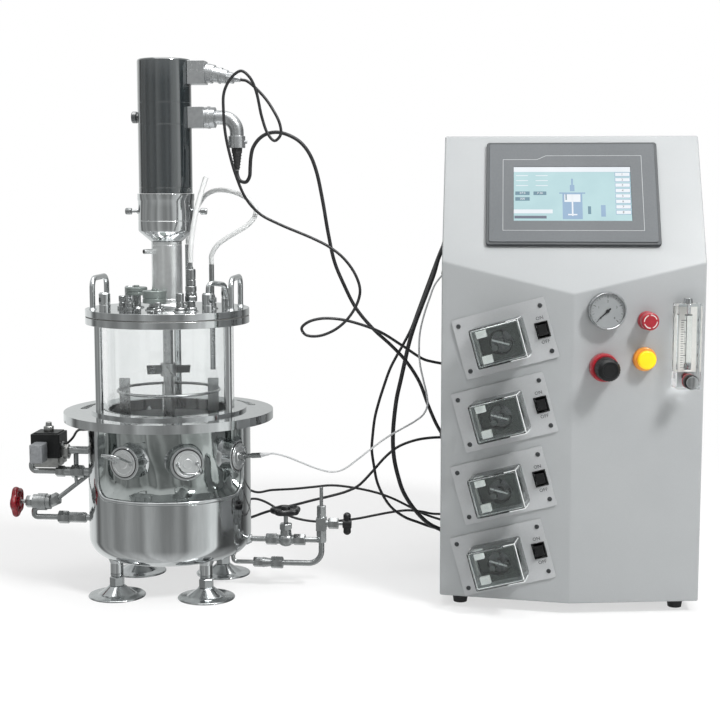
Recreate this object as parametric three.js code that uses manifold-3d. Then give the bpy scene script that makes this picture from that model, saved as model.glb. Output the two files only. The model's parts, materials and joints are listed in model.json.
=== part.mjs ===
import * as THREE from 'three';
import Module from 'manifold-3d';
import { mergeVertices } from 'three/addons/utils/BufferGeometryUtils.js';

const wasm = await Module();
wasm.setup();

// ---------------------------------------------------------------- sizes, mm
// The vessel stands on its own axis (x = 0, y = 0, z = 0 on the bench). Azimuths
// run from the front (-Y) towards the right (+X). The cabinet stands beside it.

const GAP = 0.3;

// facets round the largest turned pieces
const ROUND = 32;

// jacketed pot
const JACKET_RADIUS = 112.5;
const JACKET_WALL = 3;
const JACKET_BOTTOM = 48;
const JACKET_EDGE = 28;
const POT_RADIUS = 90;
const POT_WALL = 4;
const POT_FLOOR = 67;
const POT_CORNER = 20;
const FLANGE_RADIUS = 144.5;
const FLANGE_BOTTOM = 238;
const FLANGE_THICKNESS = 12;
const MOUTH_RADIUS = 84;
const SEAT_RADIUS = 107.5;
const SEAT_HEIGHT = 3.5;
const SEAT_GROOVE = 1.5;
const SLOT_RADIUS = 119.5;
const SLOT_WIDTH = 11;
const SLOT_SPAN = 45;
const SLOT_STARTS = [-130, 113];

// recess in the jacket's front, and its three ports
const RECESS_FROM = -51;
const RECESS_TO = 76;
const RECESS_SILL = 136;
const RECESS_SILL_RISE = 18;
const RECESS_CORNER = 28;
const PORT_AZIMUTHS = [-21, 24.4, 70];
const PORT_HEIGHT = 192;
const PORT_RADIUS = 23;
const PORT_FACE = 112;
const PLUG_RADIUS = 18.5;
const PLUG_STEP = 1;
const BAIL_WIDTH = 26;
const BAIL_LENGTH = 38;
const BAIL_WIRE = 3.6;
const BAIL_TILTS = [25, -10];
const PROBE_RADIUS = 3;
const PROBE_TILT = 7;
const PROBE_REACH = 145;

// levelling feet
const FOOT_X = 62;
const FOOT_Y = 64;
const FOOT_RADIUS = 39;
const FOOT_RIM = 3;
const FOOT_CONE = 11;
const FOOT_HEX = 18;
const FOOT_HEX_TOP = 32;
const FOOT_STUD = 5;
const FOOT_STUD_TOP = 44;
const LEG_BOSS_RADIUS = 9;

// glass section and lid
const GLASS_RADIUS = 90.5;
const GLASS_WALL = 5;
const GLASS_HEIGHT = 120.8;
const RING_INNER = 84;
const RING_OUTER = 112.5;
const RING_THICKNESS = 9.6;
const RING_GROOVE = 2;
const ROD_RADIUS = 5.25;
const ROD_CIRCLE = 101;
const ROD_AZIMUTHS = [-55.5, 64.5, 184.5];
const ROD_DEPTH = 7.5;
const GASKET_THICKNESS = 0.8;
const LID_RADIUS = 112.5;
const LID_THICKNESS = 9.3;
const LID_NUT_CIRCLE = 99;
const LID_NUT_RADIUS = 7.7;
const LID_NUT_HEIGHT = 25.5;
const HANDLE_X = 95.5;
const HANDLE_Y = 37.5;
const HANDLE_ROD = 3.8;
const HANDLE_HEIGHT = 45.8;

// stirrer drive
const SHAFT_RADIUS = 7.25;
const SHAFT_CLEARANCE = 1.75;
const SHAFT_BOTTOM = 100;
const COLUMN_RADIUS = 21;
const COLUMN_HEIGHT = 91;
const COLUMN_FOOT = 26;
const ADAPTOR_RADIUS = 38;
const ADAPTOR_HEIGHT = 65;
const ADAPTOR_BORE = 30;
const COUPLING_RADIUS = 15;
const MOTOR_RADIUS = 36.5;
const MOTOR_HEIGHT = 180.7;
const IMPELLER_RADIUS = 30;
const IMPELLER_Z = 306;
const LOWER_IMPELLER_Z = 122;
const BAFFLE_INNER = 54;
const BAFFLE_OUTER = 69;
const BAFFLE_THICKNESS = 2;
const BAFFLE_TOP = 294;
const BAFFLE_RING = 70;
const BAFFLE_RING_Z = 278;
const BAFFLE_WIRE = 2;
const DIP_RADIUS = 3.5;
const DIP_X = 64;
const DIP_Y = -10;
const DIP_BOTTOM = 308;

// pipework beside the pot
const UPPER_NOZZLE_Z = 190;
const MIDDLE_NOZZLE_Z = 159.5;
const DRAIN_NOZZLE_Z = 153;
const DRAIN_NOZZLE_Y = 13;
const LOWER_NOZZLE_Z = 94.5;
const STEAM_NOZZLE_Z = 68;
const NOZZLE_PROUD = 2.5;
const NOZZLE_DEPTH = 8.5;
const BOTTOM_NOZZLE_X = 88;
const RETURN_Z = 34.7;
const WHEEL_RADIUS = 22.5;
const WHEEL_THICKNESS = 9;
const WHEEL_LOBES = 5;
const WHEEL_HUB = 6.5;
const STEM_RADIUS = 3;
const PIPE_NUT = 16;

// control cabinet
const CABINET_X = 550.7;
const CABINET_Y = -76.3;
const CABINET_WIDTH = 340;
const CABINET_DEPTH = 380;
const CABINET_BOTTOM = 15;
const CABINET_TOP = 626;
const CABINET_RIDGE = 27.5;
const CABINET_WALL = 2;
const SLOPE_START = 461;
const SLOPE_RUN = 0.687;
const CABINET_FOOT_RADIUS = 11;
const CABINET_FOOT_INSET = 27;
const BOOT_RADIUS = 5.5;
const BOOT_STAND = 4.2;

// touch panel
const PANEL_WIDTH = 226.5;
const PANEL_HEIGHT = 163;
const PANEL_BEZEL = 6;
const PANEL_LIP = 9;
const PANEL_BODY = 34;
const PANEL_Z = 547;
const SCREEN_WIDTH = 154;
const SCREEN_HEIGHT = 86;
const SCREEN_RECESS = 1.2;

// pump modules
const PUMP_HEIGHTS = [362, 265, 168, 72];
const PUMP_ALONG = -2;
const PUMP_TILT = -15.7;
const PUMP_WIDTH = 125;
const PUMP_HEIGHT = 80;
const PUMP_PLATE = 2;
const PUMP_MOTOR_RADIUS = 21;
const PUMP_MOTOR_LENGTH = 62;
const PUMP_HEAD_WIDTH = 54;
const PUMP_HEAD_HEIGHT = 44;
const PUMP_HEAD_DEPTH = 22;
const ROTOR_RADIUS = 15.5;
const ROTOR_CLEARANCE = 1;
const ROLLER_RADIUS = 4.2;
const COVER_X = -3;
const COVER_Z = -2;
const COVER_WIDTH = 66;
const COVER_HEIGHT = 52;
const COVER_DEPTH = 45;
const COVER_WALL = 2;
const COVER_HINGE = 2;
const ROCKER_X = 50.3;
const ROCKER_Z = -1;
const ROCKER_WIDTH = 15.5;
const ROCKER_HEIGHT = 19.5;
const ROCKER_BODY = 13;

// instruments on the right-hand face: along the face, height
const GAUGE_AT = [-45, 400];
const GAUGE_RADIUS = 24.5;
const GAUGE_DEPTH = 14;
const GAUGE_BEZEL = 2.4;
const STOP_AT = [8.6, 387];
const STOP_RADIUS = 11.5;
const LAMP_AT = [6.7, 337];
const LAMP_RADIUS = 12;
const BUTTON_STEM = 7;
const BUTTON_TRAVEL = 4;
const REGULATOR_AT = [-47.1, 327];
const REGULATOR_COLLAR = 18.5;
const REGULATOR_KNOB = 14.75;
const ROTAMETER_AT = [58.4, 355];
const ROTAMETER_WIDTH = 31;
const ROTAMETER_HEIGHT = 110;
const ROTAMETER_DEPTH = 25;
const FLOAT_RADIUS = 4;
const FLOAT_HEIGHT = 9;
const FLOAT_TRAVEL = 60;
const ROTAMETER_KNOB = 9.5;
const ROTAMETER_KNOB_DROP = 44;

// sizes that follow from the ones above
const FLANGE_TOP = FLANGE_BOTTOM + FLANGE_THICKNESS;
const SEAT_TOP = FLANGE_TOP + SEAT_HEIGHT;
const GLASS_BOTTOM = SEAT_TOP - SEAT_GROOVE + GAP;
const GLASS_TOP = GLASS_BOTTOM + GLASS_HEIGHT;
const GLASS_INNER = GLASS_RADIUS - GLASS_WALL;
const RING_BOTTOM = GLASS_TOP + GAP - RING_GROOVE;
const RING_TOP = RING_BOTTOM + RING_THICKNESS;
const GASKET_BOTTOM = RING_TOP + GAP;
const LID_BOTTOM = GASKET_BOTTOM + GASKET_THICKNESS + GAP;
const LID_TOP = LID_BOTTOM + LID_THICKNESS;
const COLUMN_BOTTOM = LID_TOP + GAP;
const COLUMN_TOP = COLUMN_BOTTOM + COLUMN_HEIGHT;
const ADAPTOR_BOTTOM = COLUMN_TOP + GAP;
const ADAPTOR_TOP = ADAPTOR_BOTTOM + ADAPTOR_HEIGHT;
const MOTOR_BOTTOM = ADAPTOR_TOP + GAP;
const MOTOR_TOP = MOTOR_BOTTOM + MOTOR_HEIGHT;
const SHAFT_BORE = SHAFT_RADIUS + SHAFT_CLEARANCE;
const RECESS_FLOOR = POT_RADIUS + POT_WALL;
const SILL_SLOPE = RECESS_SILL_RISE / (JACKET_RADIUS - RECESS_FLOOR);
const NOZZLE_END = JACKET_RADIUS + NOZZLE_PROUD;
const PIPE_START = NOZZLE_END + GAP;
const HALF_WIDTH = CABINET_WIDTH / 2;
const FACE_ANGLE = Math.atan2(CABINET_RIDGE, HALF_WIDTH);
const SLOPE_ANGLE = Math.atan(SLOPE_RUN);
const CABINET_LEFT = CABINET_X - HALF_WIDTH;
const CORD_END = CABINET_LEFT - BOOT_STAND;

// free cables and hoses: the points each one lies along
const SIGNAL_CABLE = [
  [106, -3, 701], [114, -3.5, 699.3], [137, -8, 679], [152, -12, 658],
  [160, -13, 641], [161, -14, 627], [153, -15, 619], [144, -15, 628],
  [136, -15, 650],
  [129, -20, 685], [121, -24, 703], [110, -26, 711], [97, -27, 702],
  [87, -27, 683], [86, -27, 657], [88, -27, 630], [93, -24, 602],
  [101, -20, 572], [113, -14, 542], [131, -8, 521], [157, -4, 507],
  [201, 4, 488], [224, 8, 476], [243, 10, 461], [259, 12, 439],
  [266, 12, 417], [262, 10, 398], [249, 6, 377], [231, 2, 362],
  [209, 0, 354], [192, -2, 356], [187, -4, 365], [195, -4, 373],
  [212, 0, 378], [236, 8, 377], [262, 20, 370], [292, 36, 357],
  [322, 55, 336], [350, 77, 315], [365, 92, 309], [CORD_END, 100, 306],
];
const MOTOR_CABLE = [
  [99, 0, 580], [99, 0, 575], [103, -1, 566], [111, -1, 564],
  [116, -1, 571], [117, 0, 584], [118, 0, 597], [121, 0, 610],
  [129, 2, 622], [140, 2, 629], [155, 2, 631], [170, 2, 627],
  [185, 4, 618], [197, 6, 603], [206, 10, 580], [214, 16, 540],
  [221, 22, 495], [229, 28, 455], [241, 34, 424], [258, 42, 389],
  [282, 50, 359], [306, 58, 336], [327, 68, 312], [345, 78, 282],
  [357, 88, 248], [368, 98, 220], [CORD_END, 106, 203],
];
const BUNDLE_CABLE = [
  [CORD_END, 150, 472], [369, 146, 455], [363, 138, 433], [354, 128, 408],
  [345, 118, 384], [336, 108, 359], [329, 100, 335], [323, 92, 307],
  [318, 86, 283], [313, 82, 260], [310, 78, 237], [308, 76, 212],
  [308, 74, 189], [310, 74, 169], [315, 76, 146], [322, 80, 123],
  [334, 86, 101], [348, 94, 82], [361, 103, 69], [CORD_END, 110, 60],
];
const SENSOR_CABLE = [
  [CORD_END, 172, 478], [369, 167, 460], [361, 156, 438], [351, 142, 410],
  [340, 130, 379], [331, 120, 354], [320, 111, 332], [310, 103, 314],
  [302, 97, 298], [293, 91, 272], [286, 87, 249], [281, 84, 228],
  [278, 82, 202], [277, 80, 183], [280, 80, 160], [285, 82, 134],
  [295, 86, 111], [306, 91, 95], [324, 100, 80], [343, 112, 70],
  [360, 125, 61], [CORD_END, 134, 55],
];
const HEATER_CABLE = [
  [14.3, 140, 44], [24, 140, 44], [38, 141, 46], [64, 137, 57], [96, 122, 71],
  [122, 108, 83], [146, 99, 91], [168, 93, 98], [191, 90, 105],
  [218, 90, 112], [239, 93, 118], [256, 97, 126], [276, 104, 146],
  [294, 112, 166], [312, 120, 180], [336, 132, 188], [357, 144, 190],
  [CORD_END, 152, 190],
];
const VALVE_CABLE = [
  [-147.7, -10, 201], [-143.5, -9.6, 201.6], [-138, -4, 207], [-137, 18, 214],
  [-137, 60, 209], [-114, 112, 203], [-62, 146, 192], [-3, 156, 168],
  [52, 152, 130], [97, 136, 106], [125, 122, 112], [160, 110, 117],
  [188, 106, 121], [216, 106, 124], [246, 108, 121], [282, 116, 112],
  [305, 120, 103], [326, 128, 91], [346, 140, 78], [361, 150, 70],
  [CORD_END, 156, 64],
];
const TEMPERATURE_CABLE = [
  [14.3, 140, 68], [24, 140, 68], [38, 139, 71], [66, 131, 84], [97, 114, 100],
  [118, 101, 99], [146, 90, 86], [161, 86, 80], [181, 84, 76],
  [204, 82, 75], [230, 82, 77], [257, 86, 80], [283, 94, 84],
  [306, 102, 87], [327, 110, 88], [348, 121, 84], [362, 127, 80],
  [CORD_END, 130, 79],
];
const ELECTRODE_CABLE = [
  [142, -49, 197], [153, -47, 198], [170, -41, 193], [190, -35, 184],
  [211, -30, 175], [230, -26, 170], [246, -22, 173], [266, -18, 187],
  [284, -14, 201], [305, -8, 216], [325, 0, 227], [342, 8, 236],
  [354, 16, 245], [359, 22, 257], [358, 26, 270], [353, 30, 290],
  [348, 36, 311], [346, 42, 332], [347, 50, 356], [352, 58, 379],
  [359, 68, 401], [366, 82, 420], [CORD_END, 93, 434],
];
const SILICONE_HOSE = [
  [21.5, 40, 478.3], [21.5, 40, 484], [22, 42, 496], [26, 45, 512], [36, 43, 532],
  [50, 33, 547], [66, 24, 553], [84, 18, 552], [101, 12, 547],
  [115, 6, 539], [124, 1, 528], [123, -3, 517], [114, -6, 506],
  [100, -8, 497], [85, -9, 488], [72, -10, 478], [64, -10, 464],
  [64, -10, 458], [64, -10, 452.6],
];

// ------------------------------------------------------------------ helpers

const AXIS_Y = new THREE.Vector3(0, 1, 0);

function degrees(angle) {
  return THREE.MathUtils.degToRad(angle);
}

function onRing(radius, azimuth, z) {
  const angle = degrees(azimuth);
  return [radius * Math.sin(angle), -radius * Math.cos(angle), z];
}

// a closed solid from a three.js geometry: shared corners merged, faces outward
function toSolid(geometry) {
  const plain = geometry.clone();
  plain.deleteAttribute('normal');
  plain.deleteAttribute('uv');
  const position = plain.getAttribute('position').array;
  for (let i = 0; i < position.length; i += 1) {
    position[i] = Math.round(position[i] * 10000) / 10000 + 0;
  }
  const merged = mergeVertices(plain);
  const corners = merged.getAttribute('position').array;
  const index = merged.getIndex().array;
  const kept = [];
  let volume = 0;
  for (let i = 0; i < index.length; i += 3) {
    const [a, b, c] = [index[i], index[i + 1], index[i + 2]];
    if (a === b || b === c || a === c) {
      continue;
    }
    kept.push([a, b, c]);
    volume += signedVolume(corners, a, b, c);
  }
  const faces = kept.map(([a, b, c]) => (volume < 0 ? [a, c, b] : [a, b, c]));
  return new wasm.Manifold(new wasm.Mesh({
    numProp: 3,
    vertProperties: new Float32Array(corners),
    triVerts: new Uint32Array(faces.flat()),
  }));
}

function signedVolume(corners, a, b, c) {
  const p = new THREE.Vector3().fromArray(corners, a * 3);
  const q = new THREE.Vector3().fromArray(corners, b * 3);
  const r = new THREE.Vector3().fromArray(corners, c * 3);
  return p.dot(q.cross(r)) / 6;
}

function toGeometry(solid) {
  const mesh = solid.getMesh();
  const geometry = new THREE.BufferGeometry();
  geometry.setAttribute('position', new THREE.BufferAttribute(mesh.vertProperties, 3));
  geometry.setIndex(new THREE.BufferAttribute(mesh.triVerts, 1));
  geometry.computeVertexNormals();
  return geometry;
}

function join(...solids) {
  return solids.reduce((whole, solid) => whole.add(solid));
}

function cut(solid, ...tools) {
  return tools.reduce((whole, tool) => whole.subtract(tool), solid);
}

// points of an arc in a turned profile
function arc(centreR, centreZ, radius, from, to, steps = 3) {
  const points = [];
  for (let i = 0; i <= steps; i += 1) {
    const angle = degrees(from + (to - from) * i / steps);
    points.push([centreR + radius * Math.cos(angle), centreZ + radius * Math.sin(angle)]);
  }
  return points;
}

function widest(profile) {
  return facets(Math.max(...profile.map(([radius]) => radius)));
}

// a profile of radius and height turned about Z
function turned(profile, segments = widest(profile)) {
  const points = profile.map(([r, z]) => new THREE.Vector2(r, z));
  const first = profile[0];
  const last = profile[profile.length - 1];
  if (first[0] > 0 || last[0] > 0) {
    points.push(points[0].clone());
  }
  return toSolid(new THREE.LatheGeometry(points, segments).rotateX(Math.PI / 2));
}

function disc(radius, from, to, segments = facets(radius)) {
  return turned([[0, from], [radius, from], [radius, to], [0, to]], segments);
}

function washer(inner, outer, from, to, segments = facets(outer)) {
  return turned([[inner, from], [outer, from], [outer, to], [inner, to]], segments);
}

// facets enough for a round piece of a radius
function facets(radius) {
  if (radius > 60) {
    return ROUND;
  }
  if (radius > 28) {
    return 24;
  }
  if (radius > 16) {
    return 16;
  }
  if (radius > 8) {
    return 12;
  }
  return 8;
}

// a round bar or cone from one point to another
function rod(from, to, radius, sides = 0, endRadius = radius) {
  const start = new THREE.Vector3(...from);
  const end = new THREE.Vector3(...to);
  const along = end.clone().sub(start);
  const around = sides || facets(Math.max(radius, endRadius));
  const geometry = new THREE.CylinderGeometry(endRadius, radius, along.length(), around);
  const turn = new THREE.Quaternion().setFromUnitVectors(AXIS_Y, along.normalize());
  geometry.applyQuaternion(turn);
  geometry.translate(...start.add(end).multiplyScalar(0.5));
  return toSolid(geometry);
}

function hexagon(from, to, acrossFlats) {
  return rod(from, to, acrossFlats / Math.sqrt(3), 6);
}

function block(from, to) {
  const size = to.map((value, i) => value - from[i]);
  const geometry = new THREE.BoxGeometry(...size);
  geometry.translate(...from.map((value, i) => value + size[i] / 2));
  return toSolid(geometry);
}

// a plate with round corners in the XZ plane, from y to y + depth
function plate(width, height, depth, corner, y = 0, steps = 2) {
  const shape = new THREE.Shape();
  const w = width / 2;
  const h = height / 2;
  shape.moveTo(-w + corner, -h);
  shape.lineTo(w - corner, -h);
  shape.absarc(w - corner, -h + corner, corner, -Math.PI / 2, 0);
  shape.lineTo(w, h - corner);
  shape.absarc(w - corner, h - corner, corner, 0, Math.PI / 2);
  shape.lineTo(-w + corner, h);
  shape.absarc(-w + corner, h - corner, corner, Math.PI / 2, Math.PI);
  shape.lineTo(-w, -h + corner);
  shape.absarc(-w + corner, -h + corner, corner, Math.PI, Math.PI * 1.5);
  const options = { depth, bevelEnabled: false, curveSegments: steps };
  const geometry = new THREE.ExtrudeGeometry(shape, options);
  geometry.rotateX(Math.PI / 2);
  geometry.translate(0, y + depth, 0);
  return toSolid(geometry);
}

function outline(points) {
  return new THREE.Shape(points.map(([x, y]) => new THREE.Vector2(x, y)));
}

// an outline in the XY plane raised from one height to another
function prism(points, from, to) {
  const options = { depth: to - from, bevelEnabled: false };
  const geometry = new THREE.ExtrudeGeometry(outline(points), options);
  geometry.translate(0, 0, from);
  return toSolid(geometry);
}

// the wedge between two azimuths
function wedge(fromAzimuth, toAzimuth, from, to) {
  const points = [[0, 0]];
  const steps = 6;
  for (let i = 0; i <= steps; i += 1) {
    const azimuth = fromAzimuth + (toAzimuth - fromAzimuth) * i / steps;
    points.push(onRing(FLANGE_RADIUS * 1.5, azimuth, 0).slice(0, 2));
  }
  return prism(points, from, to);
}

function polygon(radius, sides) {
  const points = [];
  for (let i = 0; i < sides; i += 1) {
    const angle = 2 * Math.PI * i / sides;
    points.push([radius * Math.cos(angle), radius * Math.sin(angle)]);
  }
  return outline(points);
}

// a path through given points, each bend kept where it is
class Route extends THREE.Curve {
  constructor(points) {
    super();
    this.points = points;
  }

  getPoint(t, target = new THREE.Vector3()) {
    const place = t * (this.points.length - 1);
    const i = Math.min(Math.floor(place), this.points.length - 2);
    return target.lerpVectors(this.points[i], this.points[i + 1], place - i);
  }

  getPointAt(u, target) {
    return this.getPoint(u, target);
  }

  getSpacedPoints() {
    return this.points.map((point) => point.clone());
  }

  getTangentAt(u, target = new THREE.Vector3()) {
    const last = this.points.length - 1;
    const i = Math.round(u * last);
    const here = this.points[i];
    target.set(0, 0, 0);
    if (i > 0) {
      target.add(here.clone().sub(this.points[i - 1]).normalize());
    }
    if (i < last) {
      target.add(this.points[i + 1].clone().sub(here).normalize());
    }
    return target.normalize();
  }
}

// straight runs joined by bends of one radius
function bent(corners, radius, steps = 4) {
  const points = corners.map((corner) => new THREE.Vector3(...corner));
  const path = [points[0]];
  for (let i = 1; i < points.length - 1; i += 1) {
    const back = points[i - 1].clone().sub(points[i]).normalize();
    const ahead = points[i + 1].clone().sub(points[i]).normalize();
    const half = back.angleTo(ahead) / 2;
    const reach = radius / Math.tan(half);
    const toCentre = back.clone().add(ahead).normalize();
    const centre = points[i].clone().addScaledVector(toCentre, reach / Math.cos(half));
    const start = points[i].clone().addScaledVector(back, reach).sub(centre);
    const end = points[i].clone().addScaledVector(ahead, reach).sub(centre);
    const sweep = start.angleTo(end);
    for (let step = 0; step <= steps; step += 1) {
      const a = Math.sin(sweep * (1 - step / steps)) / Math.sin(sweep);
      const b = Math.sin(sweep * step / steps) / Math.sin(sweep);
      path.push(centre.clone().addScaledVector(start, a).addScaledVector(end, b));
    }
  }
  path.push(points[points.length - 1]);
  return path;
}

function tube(corners, bend, radius, sides = 8, steps = 3) {
  const path = bent(corners, bend, steps);
  const options = { steps: path.length - 1, extrudePath: new Route(path) };
  return toSolid(new THREE.ExtrudeGeometry(polygon(radius, sides), options));
}

// a tube along a smooth curve through points
function hose(points, diameter, steps, sides = 8) {
  const vectors = points.map((point) => new THREE.Vector3(...point));
  const curve = new THREE.CatmullRomCurve3(vectors, false, 'centripetal');
  const options = { steps, extrudePath: curve };
  return toSolid(new THREE.ExtrudeGeometry(polygon(diameter / 2, sides), options));
}

// a closed ring of round wire
function wireRing(radius, wire, z, segments = 24, sides = 6) {
  const profile = [];
  for (let i = 0; i < sides; i += 1) {
    const angle = 2 * Math.PI * i / sides;
    profile.push([radius + wire * Math.cos(angle), z + wire * Math.sin(angle)]);
  }
  return turned(profile, segments);
}

function transformed(solid, matrix) {
  return toSolid(toGeometry(solid).applyMatrix4(matrix));
}

function turnedTo(solid, azimuth) {
  return toSolid(toGeometry(solid).rotateZ(degrees(azimuth)));
}

function material(color, roughness, metalness, extra = {}) {
  return new THREE.MeshStandardMaterial({ color, roughness, metalness, ...extra });
}

const steel = () => material(0xb9bcbe, 0.22, 1);
const polished = () => material(0xc6c9ca, 0.12, 1);
const glossBlack = () => material(0x0b0c0e, 0.18, 0.1);
const cable = () => material(0x141516, 0.6, 0);
const clearPlastic = () => material(0xdfe6ea, 0.08, 0, { transparent: true, opacity: 0.35 });
const greyPaint = () => material(0xb4b8bb, 0.5, 0.1);
const darkPlastic = () => material(0x1b1d20, 0.5, 0);

function piece(name, solid, look, parent, position = [0, 0, 0]) {
  const mesh = new THREE.Mesh(toGeometry(solid), look);
  mesh.name = name;
  mesh.position.set(...position);
  parent.add(mesh);
  return mesh;
}

// ------------------------------------------------------------------- vessel

function potShell() {
  const edgeR = JACKET_RADIUS - JACKET_EDGE;
  const edgeZ = JACKET_BOTTOM + JACKET_EDGE;
  const cornerR = POT_RADIUS - POT_CORNER;
  const cornerZ = POT_FLOOR + POT_CORNER;
  const grooveIn = GLASS_INNER - GAP;
  const grooveOut = GLASS_RADIUS + GAP;
  const grooveZ = SEAT_TOP - SEAT_GROOVE;
  return turned([
    [0, JACKET_BOTTOM],
    ...arc(edgeR, edgeZ, JACKET_EDGE, -90, 0),
    [JACKET_RADIUS, FLANGE_BOTTOM],
    [FLANGE_RADIUS, FLANGE_BOTTOM],
    [FLANGE_RADIUS, FLANGE_TOP],
    [SEAT_RADIUS, FLANGE_TOP],
    [SEAT_RADIUS, SEAT_TOP],
    [grooveOut, SEAT_TOP],
    [grooveOut, grooveZ],
    [grooveIn, grooveZ],
    [grooveIn, SEAT_TOP],
    [MOUTH_RADIUS, SEAT_TOP],
    [MOUTH_RADIUS, FLANGE_BOTTOM],
    [POT_RADIUS, FLANGE_BOTTOM],
    ...arc(cornerR, cornerZ, POT_CORNER, 0, -90, 3),
    [0, POT_FLOOR],
  ]);
}

function jacketSpace() {
  const inner = POT_RADIUS + POT_WALL;
  const edgeR = JACKET_RADIUS - JACKET_EDGE;
  const edgeZ = JACKET_BOTTOM + JACKET_EDGE;
  const cornerR = POT_RADIUS - POT_CORNER;
  const cornerZ = POT_FLOOR + POT_CORNER;
  return turned([
    [0, JACKET_BOTTOM + JACKET_WALL],
    ...arc(edgeR, edgeZ, JACKET_EDGE - JACKET_WALL, -90, 0),
    [JACKET_RADIUS - JACKET_WALL, FLANGE_BOTTOM - JACKET_WALL],
    [inner, FLANGE_BOTTOM - JACKET_WALL],
    ...arc(cornerR, cornerZ, POT_CORNER + POT_WALL, 0, -90, 3),
    [0, POT_FLOOR - POT_WALL],
  ]);
}

// the recess in the jacket's front, larger all round by a margin
function recess(margin) {
  const inner = RECESS_FLOOR - margin;
  const outer = JACKET_RADIUS + 2;
  const drop = margin * 1.4;
  const turn = THREE.MathUtils.radToDeg(margin / JACKET_RADIUS);
  const top = FLANGE_BOTTOM + margin;
  const sill = (radius) => RECESS_SILL + SILL_SLOPE * (JACKET_RADIUS - radius) - drop;
  const ring = turned([[inner, sill(inner)], [outer, sill(outer)], [outer, top], [inner, top]]);
  const from = RECESS_FROM - turn;
  const to = RECESS_TO + turn;
  const band = ring.intersect(wedge(from, to, RECESS_SILL / 2, FLANGE_TOP));
  const corner = RECESS_CORNER + margin;
  const offset = THREE.MathUtils.radToDeg(Math.asin(corner / JACKET_RADIUS));
  const centreZ = sill(JACKET_RADIUS) + corner;
  return cut(
    band,
    recessCorner(from + offset, -1, corner, centreZ),
    recessCorner(to - offset, 1, corner, centreZ),
  );
}

// what rounds a lower corner of the recess leaves standing
function recessCorner(azimuth, side, radius, centreZ) {
  const near = -JACKET_RADIUS - 10;
  const far = -RECESS_FLOOR + 20;
  const wide = radius * 1.6;
  const box = side > 0
    ? block([0, near, centreZ - wide], [wide, far, centreZ])
    : block([-wide, near, centreZ - wide], [0, far, centreZ]);
  const round = rod([0, near - 1, centreZ], [0, far + 1, centreZ], radius);
  return turnedTo(cut(box, round), azimuth);
}

function kidneySlot(start) {
  const half = SLOT_WIDTH / 2;
  const end = start + SLOT_SPAN;
  const inset = THREE.MathUtils.radToDeg(half / SLOT_RADIUS);
  const low = FLANGE_BOTTOM - 2;
  const high = FLANGE_TOP + 2;
  const ring = washer(SLOT_RADIUS - half, SLOT_RADIUS + half, low, high);
  const body = ring.intersect(wedge(start + inset, end - inset, low - 1, high + 1));
  const first = rod(onRing(SLOT_RADIUS, start + inset, low), onRing(SLOT_RADIUS, start + inset, high), half);
  const last = rod(onRing(SLOT_RADIUS, end - inset, low), onRing(SLOT_RADIUS, end - inset, high), half);
  return join(body, first, last);
}

// a port boss at azimuth 0, its plug standing a step proud
function portBoss() {
  const plug = -PORT_FACE + PLUG_STEP;
  return join(
    rod([0, -POT_RADIUS + 12, PORT_HEIGHT], [0, plug, PORT_HEIGHT], PORT_RADIUS),
    rod([0, plug + 1, PORT_HEIGHT], [0, -PORT_FACE, PORT_HEIGHT], PLUG_RADIUS),
  );
}

// the wire bail that lifts a plug, at azimuth 0
function bail(tilt) {
  const half = BAIL_WIDTH / 2;
  const angle = degrees(tilt);
  const out = BAIL_LENGTH * Math.cos(angle);
  const rise = BAIL_LENGTH * Math.sin(angle);
  const root = -PORT_FACE + 1;
  const tip = -PORT_FACE - out;
  const level = PORT_HEIGHT;
  return tube([
    [-half, root, level],
    [-half, tip, level + rise],
    [half, tip, level + rise],
    [half, root, level],
  ], half * 0.8, BAIL_WIRE / 2, 6, 2);
}

function ports() {
  const inside = disc(POT_RADIUS, POT_FLOOR, FLANGE_BOTTOM);
  const bosses = PORT_AZIMUTHS.map((azimuth, i) => {
    const withBail = i < BAIL_TILTS.length ? join(portBoss(), bail(BAIL_TILTS[i])) : portBoss();
    return turnedTo(withBail, azimuth);
  });
  return cut(join(...bosses), inside);
}

function probeLine(radius) {
  const azimuth = PORT_AZIMUTHS[PORT_AZIMUTHS.length - 1];
  const rise = (radius - PORT_FACE) * Math.tan(degrees(PROBE_TILT));
  return onRing(radius, azimuth, PORT_HEIGHT + rise);
}

function legPlaces() {
  return [
    ['foot_front_left', -FOOT_X, -FOOT_Y],
    ['foot_front_right', FOOT_X, -FOOT_Y],
    ['foot_rear_left', -FOOT_X, FOOT_Y],
    ['foot_rear_right', FOOT_X, FOOT_Y],
  ];
}

const LEFT_NOZZLES = [
  [UPPER_NOZZLE_Z, 7, 4],
  [MIDDLE_NOZZLE_Z, 7.5, 3.5],
  [LOWER_NOZZLE_Z, 6.5, 3],
];

function nozzle(side, z, radius) {
  const inner = side * (JACKET_RADIUS - NOZZLE_DEPTH);
  return rod([inner, 0, z], [side * NOZZLE_END, 0, z], radius);
}

function nozzleBore(side, z, radius) {
  const inner = side * (JACKET_RADIUS - NOZZLE_DEPTH - 1);
  return rod([inner, 0, z], [side * (NOZZLE_END + 1), 0, z], radius);
}

// the box behind the pot that the heater and temperature leads come out of
const HEAD_BOX = [[-22, 100, 36], [8, 152, 86]];
const HEAD_GLANDS = [[140, 44], [140, 68]];
const HEAD_GLAND_LENGTH = 6;

function heaterHead() {
  const face = HEAD_BOX[1][0];
  const glands = HEAD_GLANDS.map(([y, z]) => (
    rod([face - 1, y, z], [face + HEAD_GLAND_LENGTH, y, z], 5)
  ));
  return join(block(...HEAD_BOX), ...glands);
}

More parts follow.
